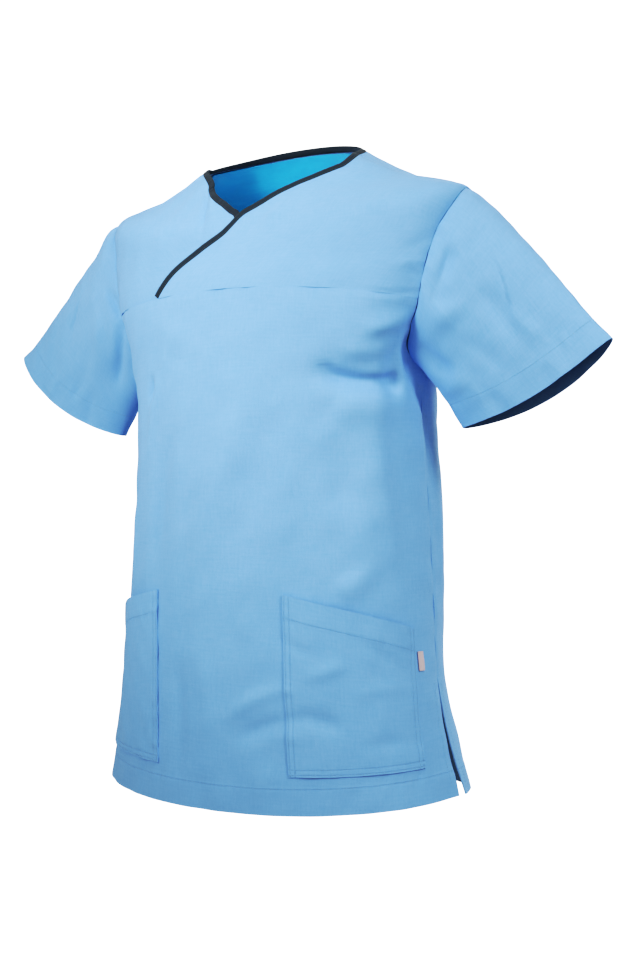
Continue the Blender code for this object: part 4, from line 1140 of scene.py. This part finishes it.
def sleeve_grid(cuff, seed):
    """A short sleeve from its armhole to a wide cuff, hanging clear of the body."""
    sizes = bpy.context.scene.blouse_sizes
    down_back = 2 * BACK_ANGLE - back_turns()[::-1]
    turns = np.concatenate([low_front_turns(), yoke_turns()[1:], down_back[1:]])[None]
    along = crowded(SLEEVE_ROWS)[:, None]
    surface = sleeve_surface(cuff)
    turn, share = np.broadcast_arrays(turns, along)
    points, outward = surface(turn, share)
    seam = armhole(turn[0], cuff.side)
    shift = cloth(seam[:, 0], seam[:, 1]) - points[0]
    points = points + shift[None] * ((1 - along) ** 3)[..., None]
    height = np.zeros(points.shape[:2])
    for fold in SLEEVE_FOLDS[cuff.name]:
        middle = fold.angle + fold.lean * (share - fold.level)
        across = turn_between(turn, middle) / fold.spread
        height += fold.height * soft_bump((share - fold.level) / fold.reach, across)
    height = height * np.sin(math.pi * along) ** 0.5
    height = height + sizes.crease_strength * crease_heights(SLEEVE_CREASES[cuff.name], points, surface)
    runs = runs_of(points)
    height = height + turned(runs.high, sizes.cuff_depth)
    height = height + stitch_dip(runs.high, sizes.cuff_depth - ROW_ABOVE)
    height = height + puckers(runs.high - sizes.cuff_depth, runs.left, 0.0006, 0.010, 0.022, seed)
    height = height + seam_dip(runs.low) + puckers(runs.low, runs.left, 0.0007, 0.014, 0.026, seed + 1)
    underarm = np.minimum(runs.left, runs.right)
    height = height + seam_dip(underarm, 0.0007, 0.003) + rumple(points, seed + 9)
    points = points + outward * height[..., None]
    points[:, -1] = points[:, 0]
    points = drawn_in(points, low=RIDGE_GAP)
    return points


def binding_profile():
    """The bound edge's cross-section: along the cloth's surface, and off it."""
    half = BINDING_THICKNESS / 2
    turn = np.linspace(-90.0, 90.0, 7)
    round_x = BINDING_WIDTH - half + half * np.cos(np.radians(turn))
    round_y = half * np.sin(np.radians(turn))
    inner_x = np.linspace(SKEW_GAP, BINDING_WIDTH - half, 7)[:-1]
    crown = half * (1 - 0.16 * np.cos(2 * math.pi * (inner_x - 0.0012) / BINDING_WIDTH) * (inner_x > 0.001))
    crown[0] = half * 0.75
    under = np.stack([inner_x, -crown], axis=-1)
    over = np.stack([inner_x, crown], axis=-1)[::-1]
    return np.vstack([under, np.stack([round_x, round_y], axis=-1), over])


def binding_piece(name, places, lift, outward_way, seed):
    """A bound edge: a rounded fold of bias tape that stands out past a line of places."""
    angle, level = places[:, 0], places[:, 1]
    line = cloth(angle, level, lift(angle, level) - WALL / 2)
    along = unit(np.gradient(line, axis=0))
    normal = form_normal(angle, level)
    past = np.cross(along, normal) * outward_way
    at_shoulder = np.isclose(level, LEVEL["neck"]) & np.isclose(np.abs(turn_between(angle, 0.0)), SIDE_ANGLE)
    up_shoulder = bare_form(angle, level) - bare_form(angle, level - SHOULDER_STEP)
    past = unit(np.where(at_shoulder[:, None], up_shoulder, past))
    off = unit(np.cross(past, along)) * outward_way * -1
    off = np.where((off * normal).sum(axis=-1, keepdims=True) < 0, -off, off)
    run = np.concatenate([[0.0], np.cumsum(np.linalg.norm(np.diff(line, axis=0), axis=1))])
    profile = binding_profile()
    grid = (line[:, None] + past[:, None] * profile[None, :, :1] + off[:, None] * profile[None, :, 1:])
    ripple = wavy(run, 0.009, seed)[:, None] * 0.00012 * np.sign(profile[None, :, 1])
    grid = grid + off[:, None] * ripple[..., None]
    grid = drawn_in(grid, low=SKEW_GAP, high=SKEW_GAP)
    steps, around = grid.shape[:2]
    number = np.arange(steps * around).reshape(steps, around)
    following = np.roll(number, -1, axis=1)
    faces = np.stack([number[:-1], following[:-1], following[1:], number[1:]], axis=-1)
    faces = faces.reshape(-1, 4).tolist()
    faces += [number[0, ::-1].tolist(), number[-1].tolist()]
    data = bpy.data.meshes.new(f"{name}_tape")
    data.from_pydata(grid.reshape(-1, 3).tolist(), [], faces)
    width = np.concatenate([[0.0], np.cumsum(np.linalg.norm(np.diff(profile, axis=0), axis=1))])
    uv = np.stack(np.broadcast_arrays(width[None], run[:, None]), axis=-1).reshape(-1, 2)
    corners = np.array([loop.vertex_index for loop in data.loops])
    for map_name in ("from_low_left", "from_high_right", "grain"):
        data.uv_layers.new(name=map_name).data.foreach_set("uv", uv[corners].reshape(-1).astype(np.float32))
    data.materials.append(edging_material())
    piece = new_object(f"{name}_tape", data)
    only(piece)
    bpy.ops.object.mode_set(mode="EDIT")
    bpy.ops.mesh.select_all(action="SELECT")
    bpy.ops.mesh.normals_make_consistent(inside=False)
    bpy.ops.object.mode_set(mode="OBJECT")
    bpy.ops.object.shade_smooth_by_angle(angle=SMOOTH_ANGLE)
    inner = line + past * 0.0016 + off * (BINDING_THICKNESS / 2)
    return piece, (inner, off)


def edging_material():
    paint = colours()
    return bpy.data.materials.get("navy_binding") or twill_finish(
        "navy_binding", tone(paint.edging), tone(paint.edging_deep), sheen=0.12)


# ---- Studio ----------------------------------------------------------------------------------
# Each lamp's place from the shoulders: out towards the camera, aside to its right, and up.
Lamp = namedtuple("Lamp", "name out aside up aim_aside aim_up size spread")
LAMPS = (
    Lamp("key", 1.05, -1.08, 0.30, 0.00, -0.22, 0.50, math.radians(46.0)),
    Lamp("top", 0.20, 0.00, 1.90, 0.00, -0.35, 2.60, math.pi),
    Lamp("fill", 1.50, 1.30, 0.90, 0.15, -0.50, 0.60, math.radians(40.0)),
    Lamp("neck", 0.70, 0.35, 0.80, -0.04, 0.00, 0.20, math.radians(14.0)),
    Lamp("inner", 0.00, 0.00, -0.30, 0.00, 0.00, 0.12, math.radians(80.0)),
    Lamp("back", -1.50, 0.90, 0.30, 0.00, -0.30, 0.60, math.radians(60.0)),
)
DAYLIGHT = (0.93, 0.98, 1.0)
FILM_WHITE = 1.8          # how much light shows as pure white
FILM = (                  # how much light, and how bright it shows
    (0.000, 0.000),
    (0.020, 0.005),
    (0.060, 0.028),
    (0.149, 0.120),
    (0.200, 0.200),
    (0.270, 0.325),
    (0.430, 0.520),
    (0.560, 0.630),
    (0.750, 0.740),
    (0.950, 0.835),
    (1.300, 0.940),
    (1.800, 1.000),
)

# ---- Operators -------------------------------------------------------------------------------
# Cut sizes: widest, longest, and the flat area of the cut in square metres.
Cut = namedtuple("Cut", "width length area")


class WORK_BLOUSE_OT_front_and_back(bpy.types.Operator):
    """Make the front and the back with their hems, slits and side seams"""
    bl_idname = "work_blouse.front_and_back"
    bl_label = "Front and back"

    def execute(self, context):
        sizes = context.scene.blouse_sizes
        hem_row, slit_row = sizes.hem_depth - ROW_ABOVE, sizes.slit_turning - ROW_ABOVE
        for name, make in (("front_body", front_body), ("back_body", back_body)):
            points, levels = make()
            lines = (EdgeLine("low", hem_row),)
            piece = grid_object(f"{name}_cloth", points, runs_of(points), outer_pair(name, lines), WALL)
            hem, left, right = seam_lines(points, (EdgeLine("low", hem_row), EdgeLine("left", slit_row),
                                                   EdgeLine("right", slit_row)))
            top = int(np.searchsorted(levels, LEVEL["slit top"]))
            rows = [hem, trimmed(left, 8, top), trimmed(right, 8, top)]
            sewn(f"{name}_stitches", rows, outer_thread())
            settle(piece, name)
        return {"FINISHED"}


class WORK_BLOUSE_OT_yokes(bpy.types.Operator):
    """Make the two halves of the front yoke, the left one lying over the right one"""
    bl_idname = "work_blouse.yokes"
    bl_label = "Front yokes"

    def execute(self, context):
        for name, side, lift, seed in (("front_yoke_left", 1, flat, 51),
                                       ("front_yoke_right", -1, under_lift, 61)):
            points = yoke_grid(side, lift, seed)
            piece = grid_object(f"{name}_cloth", points, runs_of(points), outer_pair(name), WALL)
            settle(piece, name)
        return {"FINISHED"}


class WORK_BLOUSE_OT_sleeves(bpy.types.Operator):
    """Make the two short sleeves with their cuff hems"""
    bl_idname = "work_blouse.sleeves"
    bl_label = "Sleeves"

    def execute(self, context):
        cuff_row = context.scene.blouse_sizes.cuff_depth - ROW_ABOVE
        for cuff, seed in zip(CUFFS, (71, 81)):
            points = sleeve_grid(cuff, seed)
            if cuff.side < 0:
                points = points[:, ::-1]
            points = points[::-1]
            lines = (EdgeLine("low", cuff_row),)
            piece = grid_object(f"{cuff.name}_cloth", points, runs_of(points), outer_pair(cuff.name, lines),
                                WALL, tube=True)
            sewn(f"{cuff.name}_stitches", seam_lines(points, lines), outer_thread())
            settle(piece, cuff.name)
        return {"FINISHED"}


class WORK_BLOUSE_OT_neck(bpy.types.Operator):
    """Make the three bindings round the neck and the knit facing inside its back"""
    bl_idname = "work_blouse.neck"
    bl_label = "Neck bindings and facing"

    def execute(self, context):
        paint = colours()
        neck_turn = np.linspace(SIDE_ANGLE, SIDE_ANGLE + BACK_ANGLE, BINDING_STEPS + 1)
        back_edge = np.stack([neck_turn, np.full(len(neck_turn), float(LEVEL["neck"]))], axis=-1)
        navy_thread = thread_finish("edging_thread", tone(paint.edging))
        for name, places, lift, way, seed in (
                ("binding_back_neck", back_edge, flat, -1, 91),
                ("binding_wrap", wrap_edge(BINDING_STEPS), flat, -1, 92),
                ("binding_under", wrap_edge(BINDING_STEPS, side=-1), under_lift, 1, 93)):
            piece, row = binding_piece(name, places, lift, way, seed)
            sewn(f"{name}_stitches", [row], navy_thread, EDGING_PITCH)
            settle(piece, name)
        part = np.linspace(0.0, 1.0, FACING_COLUMNS + 1)
        end = BACK_ANGLE / 26
        angles = SIDE_ANGLE + end + part * 2 * (SIDE_ANGLE - end)
        arch = np.sin(math.pi * part) ** FACING_ROUNDNESS
        depth = FACING_END_DEPTH + (FACING_DEPTH - FACING_END_DEPTH) * arch
        up = np.linspace(0.0, 1.0, FACING_ROWS + 1)[:, None]
        levels = LEVEL["neck"] - 0.02 - depth * (1 - up)
        points = cloth(np.repeat(angles[None], len(up), axis=0), levels, -WALL - INSIDE_LAP)
        runs = runs_of(points)
        knit = knit_finish("neck_mesh_knit", tone(paint.knit), tone(paint.knit_deep))
        piece = grid_object("back_neck_facing_cloth", points, runs, [knit], FACING_WALL)
        settle(piece, "back_neck_facing")
        return {"FINISHED"}


class WORK_BLOUSE_OT_pockets(bpy.types.Operator):
    """Make the two patch pockets and the bare label tab in the left one's seam"""
    bl_idname = "work_blouse.pockets"
    bl_label = "Pockets and tab"

    def execute(self, context):
        sizes = context.scene.blouse_sizes
        for row, seed in zip(POCKETS, (101, 111)):
            self.pocket(row, seed, sizes)
        self.tab()
        return {"FINISHED"}

    def pocket(self, row, seed, sizes):
        top_in, top_out = place(row.top_in_x, row.top_in_z), place(row.top_out_x, row.top_out_z)
        low_in, low_out = place(row.low_in_x, row.low_in_z), place(row.low_out_x, row.low_out_z)
        part = crowded(POCKET_COLUMNS)[:, None]
        up = crowded(POCKET_ROWS)[:, None]
        low = (1 - part) * low_in + part * low_out
        high = (1 - part) * top_in + part * top_out
        places = (1 - up)[..., None] * low[None] + up[..., None] * high[None]
        stand = POCKET_STAND * np.sin(math.pi * part[None, :, 0]) * up ** 3
        angle, level = places[..., 0], places[..., 1]
        points = cloth(angle, level, WALL + LAP + stand)
        outward = form_normal(angle, level)
        if row.top_in_x < 0:
            points, outward = points[:, ::-1], outward[:, ::-1]
        runs = runs_of(points)
        inner = runs.left if row.top_in_x > 0 else runs.right
        outer = runs.right if row.top_in_x > 0 else runs.left
        relief = turned(runs.high, sizes.mouth_depth) + stitch_dip(runs.high, sizes.mouth_depth - ROW_ABOVE)
        for run, number in ((inner, 0), (outer, 1), (runs.low, 2)):
            along = runs.low if number < 2 else runs.left
            relief = relief + stitch_dip(run, TOP_ROW) + stitch_dip(run, INNER_ROW)
            relief = relief + puckers(run - 0.005, along, 0.0007, 0.008, 0.027, seed + number)
        relief = relief + puckers(runs.high - sizes.mouth_depth, runs.left, 0.0004, 0.008, 0.02, seed + 4)
        relief = np.maximum(relief + rumple(points, seed + 9), -0.0004)
        points = points + outward * relief[..., None]
        lines = tuple(EdgeLine(edge, at) for edge in ("left", "right", "low") for at in (TOP_ROW, INNER_ROW))
        lines += (EdgeLine("high", sizes.mouth_depth - ROW_ABOVE),)
        piece = grid_object(f"{row.name}_cloth", points, runs_of(points), outer_pair(row.name, lines), WALL)
        sewn(f"{row.name}_stitches", seam_lines(points, lines), outer_thread())
        settle(piece, row.name)

    def tab(self):
        pocket_row = POCKETS[0]
        run = pocket_row.top_out_z - pocket_row.low_out_z
        zs = np.linspace(LABEL_TOP_Z - LABEL_HEIGHT, LABEL_TOP_Z, 15)
        part = (pocket_row.top_out_z - zs) / run
        xs = pocket_row.top_out_x + part * (pocket_row.low_out_x - pocket_row.top_out_x)
        places = np.array([place(x, z) for x, z in zip(xs, zs)])
        across = np.linspace(0.0, 1.0, 9)
        angles = places[:, :1] + LABEL_GAP_ANGLE + LABEL_WIDTH_ANGLE * across[None]
        levels = np.repeat(places[:, 1:], len(across), axis=1)
        curl = 0.0006 * across[None] ** 2 * (1 + 0.5 * np.sin(np.linspace(0, 5, len(zs))))[:, None]
        points = cloth(angles, levels, LABEL_WALL + LAP + curl)
        tape = tape_finish("label_tape_weave", tone(colours().tape))
        piece = grid_object("label_tab_tape", points, runs_of(points), [tape], LABEL_WALL)
        settle(piece, "label_tab")


class WORK_BLOUSE_OT_cuts(bpy.types.Operator):
    """Do nothing: how each cloth was cut, and what is sewn on it, is not recorded here"""
    bl_idname = "work_blouse.cuts"
    bl_label = "Cuts"

    def execute(self, context):
        return {"FINISHED"}


class WORK_BLOUSE_OT_studio(bpy.types.Operator):
    """Set up the pale floor, the soft lights and the camera of the photograph"""
    bl_idname = "work_blouse.studio"
    bl_label = "Studio"

    def execute(self, context):
        studio = context.scene.blouse_studio
        bpy.ops.object.select_all(action="DESELECT")
        bpy.ops.mesh.primitive_cylinder_add(vertices=96, radius=1.4, depth=0.02,
                                            location=(0.0, 0.0, -studio.floor_below - 0.01))
        floor = context.object
        floor.name = "studio_floor"
        bevel = floor.modifiers.new("soft rim", "BEVEL")
        bevel.width, bevel.segments = 0.006, 3
        bpy.ops.object.modifier_apply(modifier=bevel.name)
        bpy.ops.object.transform_apply(location=True, rotation=True, scale=True)
        finish = Finish("pale_floor")
        where = finish.node("ShaderNodeTexCoord", {}, {}, output="Object")
        speckle = finish.noise(where, 40.0, 3.0)
        pale = finish.mix(speckle, (0.78, 0.79, 0.80, 1.0), (0.84, 0.85, 0.86, 1.0))
        floor.data.materials.append(finish.finish(pale, finish.bump(speckle, 0.0005, 0.2), 0.7))
        self.world(context, studio)
        self.lights(studio)
        self.camera(context, studio)
        return {"FINISHED"}

    def world(self, context, studio):
        world = bpy.data.worlds.new("white studio")
        context.scene.world = world
        world.use_nodes = True
        tree = world.node_tree
        tree.nodes.clear()
        path = tree.nodes.new("ShaderNodeLightPath")
        seen, light = tree.nodes.new("ShaderNodeBackground"), tree.nodes.new("ShaderNodeBackground")
        seen.inputs["Color"].default_value = (1.0, 1.0, 1.0, 1.0)
        seen.inputs["Strength"].default_value = 2.0
        light.inputs["Color"].default_value = (1.0, 0.96, 0.82, 1.0)
        light.inputs["Strength"].default_value = studio.ambient
        choose = tree.nodes.new("ShaderNodeMixShader")
        output = tree.nodes.new("ShaderNodeOutputWorld")
        tree.links.new(path.outputs["Is Camera Ray"], choose.inputs[0])
        tree.links.new(light.outputs[0], choose.inputs[1])
        tree.links.new(seen.outputs[0], choose.inputs[2])
        tree.links.new(choose.outputs[0], output.inputs["Surface"])

    def lights(self, studio):
        toward, right = camera_axes(studio)
        for lamp in LAMPS:
            light = bpy.data.lights.new(lamp.name, "AREA")
            light.size, light.spread = lamp.size, lamp.spread
            light.energy = getattr(studio, f"{lamp.name}_power")
            light.color = DAYLIGHT
            holder = new_object(lamp.name, light)
            holder.location = toward * lamp.out + right * lamp.aside + Vector((0.0, 0.0, lamp.up))
            aim = right * lamp.aim_aside + Vector((0.0, 0.0, lamp.aim_up)) - holder.location
            holder.rotation_euler = aim.to_track_quat("-Z", "Y").to_euler()

    def camera(self, context, studio):
        toward, right = camera_axes(studio)
        lens = bpy.data.cameras.new("photograph")
        lens.sensor_fit, lens.sensor_height = "VERTICAL", 36.0
        lens.lens = studio.camera_lens
        lens.clip_start, lens.clip_end = 0.05, 50.0
        camera = new_object("photograph", lens)
        camera.location = (toward * studio.camera_distance + right * studio.camera_aside
                           + Vector((0.0, 0.0, -studio.camera_below)))
        camera.rotation_euler = (-toward).to_track_quat("-Z", "Y").to_euler()
        context.scene.camera = camera
        film_curve(context.scene.view_settings)


def film_curve(view):
    """Exposed like film: deep and rich in the shade, gentle near white."""
    view.view_transform = "Standard"
    view.use_curve_mapping = True
    mapping = view.curve_mapping
    curve = mapping.curves[3]
    first, last = curve.points[0], curve.points[-1]
    first.location, last.location = (0.0, FILM[0][1]), (1.0, FILM[-1][1])
    for light, shown in FILM[1:-1]:
        curve.points.new(light / FILM_WHITE, shown)
    mapping.white_level = (FILM_WHITE,) * 3
    mapping.update()


def camera_axes(studio):
    turn = studio.camera_turn
    return Vector((math.sin(turn), -math.cos(turn), 0.0)), Vector((math.cos(turn), math.sin(turn), 0.0))


class BlouseSizes(bpy.types.PropertyGroup):
    """Sizes that a maker would change."""
    crease_strength: FloatProperty(
        name="Creases", description="How deep the creases are", default=1.0, min=0.0, max=2.0)
    hem_depth: FloatProperty(
        name="Hem", description="Depth of the turned-up hem", default=0.030, unit="LENGTH")
    slit_turning: FloatProperty(
        name="Slit turning", description="Width of the turning along a side slit",
        default=0.012, unit="LENGTH")
    cuff_depth: FloatProperty(
        name="Cuff hem", description="Depth of the sleeve's hem", default=0.031, unit="LENGTH")
    mouth_depth: FloatProperty(
        name="Pocket hem", description="Depth of the hem at a pocket's mouth", default=0.027, unit="LENGTH")
    stitch_pitch: FloatProperty(
        name="Stitch", description="From one stitch to the next", default=0.0034, unit="LENGTH")
    thread_thickness: FloatProperty(
        name="Thread", description="Thickness of the sewing thread", default=0.00055, unit="LENGTH")
    weave_pitch: FloatProperty(
        name="Twill rib", description="From one rib of the twill to the next", default=0.0011, unit="LENGTH")


class BlouseColours(bpy.types.PropertyGroup):
    """Colours of the cloths and threads."""
    outer: FloatVectorProperty(
        name="Outer cloth", description="Light blue of the outer cloth",
        subtype="COLOR", size=3, default=(0.31, 0.52, 0.94))
    outer_deep: FloatVectorProperty(
        name="Outer cloth, deep", description="Its darker yarns",
        subtype="COLOR", size=3, default=(0.18, 0.37, 0.76))
    # Painted shade: the inside is darker than the outer cloth, standing in for the shade within the garment.
    inner: FloatVectorProperty(
        name="Wrong side", description="Inside of the outer cloth",
        subtype="COLOR", size=3, default=(0.16, 0.27, 0.50))
    edging: FloatVectorProperty(
        name="Binding", description="Navy of the neck bindings",
        subtype="COLOR", size=3, default=(0.043, 0.058, 0.078))
    edging_deep: FloatVectorProperty(
        name="Binding, deep", description="Its darker yarns",
        subtype="COLOR", size=3, default=(0.026, 0.036, 0.050))
    knit: FloatVectorProperty(
        name="Facing", description="Turquoise of the knit facing",
        subtype="COLOR", size=3, default=(0.030, 0.52, 0.95))
    knit_deep: FloatVectorProperty(
        name="Facing, deep", description="The knit's shaded holes",
        subtype="COLOR", size=3, default=(0.006, 0.31, 0.74))
    tape: FloatVectorProperty(
        name="Tab", description="Bare label tape", subtype="COLOR", size=3, default=(0.66, 0.56, 0.62))
    thread: FloatVectorProperty(
        name="Thread", description="Sewing thread of the outer cloth",
        subtype="COLOR", size=3, default=(0.27, 0.47, 0.80))


class BlouseStudio(bpy.types.PropertyGroup):
    """Floor, lights and camera."""
    floor_below: FloatProperty(
        name="Floor", description="How far the floor lies below the shoulders", default=1.45, unit="LENGTH")
    ambient: FloatProperty(name="Ambient", description="Strength of the light from all round", default=0.39)
    key_power: FloatProperty(
        name="Key light", description="Power of the main soft light", default=1.50, unit="POWER")
    top_power: FloatProperty(
        name="Top light", description="Power of the wide soft light overhead", default=9.0, unit="POWER")
    fill_power: FloatProperty(
        name="Fill light", description="Power of the soft light on the other side",
        default=1.30, unit="POWER")
    neck_power: FloatProperty(
        name="Neck light", description="Power of the small light that reaches into the neck",
        default=0.035, unit="POWER")
    inner_power: FloatProperty(
        name="Inner light", description="Power of the small light inside, below the neck",
        default=0.11, unit="POWER")
    back_power: FloatProperty(
        name="Back light", description="Power of the soft light behind", default=2.20, unit="POWER")
    camera_distance: FloatProperty(
        name="Distance", description="From the camera to the shoulders' middle", default=1.70, unit="LENGTH")
    camera_aside: FloatProperty(
        name="Aside", description="How far the camera stands to its right", default=0.0425, unit="LENGTH")
    camera_below: FloatProperty(
        name="Below", description="How far the camera stands below the shoulders",
        default=0.370, unit="LENGTH")
    camera_turn: FloatProperty(
        name="Turn", description="How far the camera stands round to the wearer's left",
        default=math.radians(30.0), subtype="ANGLE")
    camera_lens: FloatProperty(
        name="Lens", description="Focal length in millimetres on a frame 36 mm high", default=54.19)


class WORK_BLOUSE_PT_making(bpy.types.Panel):
    """The steps and sizes of the work blouse."""
    bl_label = "Work blouse"
    bl_space_type = "VIEW_3D"
    bl_region_type = "UI"
    bl_category = "Work blouse"

    def draw(self, context):
        for step in STEPS:
            self.layout.operator(step.bl_idname)
        for group in (context.scene.blouse_sizes, context.scene.blouse_colours, context.scene.blouse_studio):
            box = self.layout.box()
            for name in group.__annotations__:
                box.prop(group, name)


STEPS = (
    WORK_BLOUSE_OT_studio,
    WORK_BLOUSE_OT_front_and_back,
    WORK_BLOUSE_OT_yokes,
    WORK_BLOUSE_OT_sleeves,
    WORK_BLOUSE_OT_neck,
    WORK_BLOUSE_OT_pockets,
    WORK_BLOUSE_OT_cuts,
)
GROUPS = (BlouseSizes, BlouseColours, BlouseStudio)


def register():
    """Make Blender know the groups, the steps and the panel."""
    for item in GROUPS + STEPS + (WORK_BLOUSE_PT_making,):
        bpy.utils.register_class(item)
    bpy.types.Scene.blouse_sizes = PointerProperty(type=BlouseSizes)
    bpy.types.Scene.blouse_colours = PointerProperty(type=BlouseColours)
    bpy.types.Scene.blouse_studio = PointerProperty(type=BlouseStudio)


def unregister():
    del bpy.types.Scene.blouse_sizes, bpy.types.Scene.blouse_colours, bpy.types.Scene.blouse_studio
    for item in reversed(GROUPS + STEPS + (WORK_BLOUSE_PT_making,)):
        bpy.utils.unregister_class(item)


def main():
    register()
    bpy.ops.work_blouse.studio()
    bpy.ops.work_blouse.front_and_back()
    bpy.ops.work_blouse.yokes()
    bpy.ops.work_blouse.sleeves()
    bpy.ops.work_blouse.neck()
    bpy.ops.work_blouse.pockets()
    bpy.ops.work_blouse.cuts()


if __name__ == "__main__":
    main()
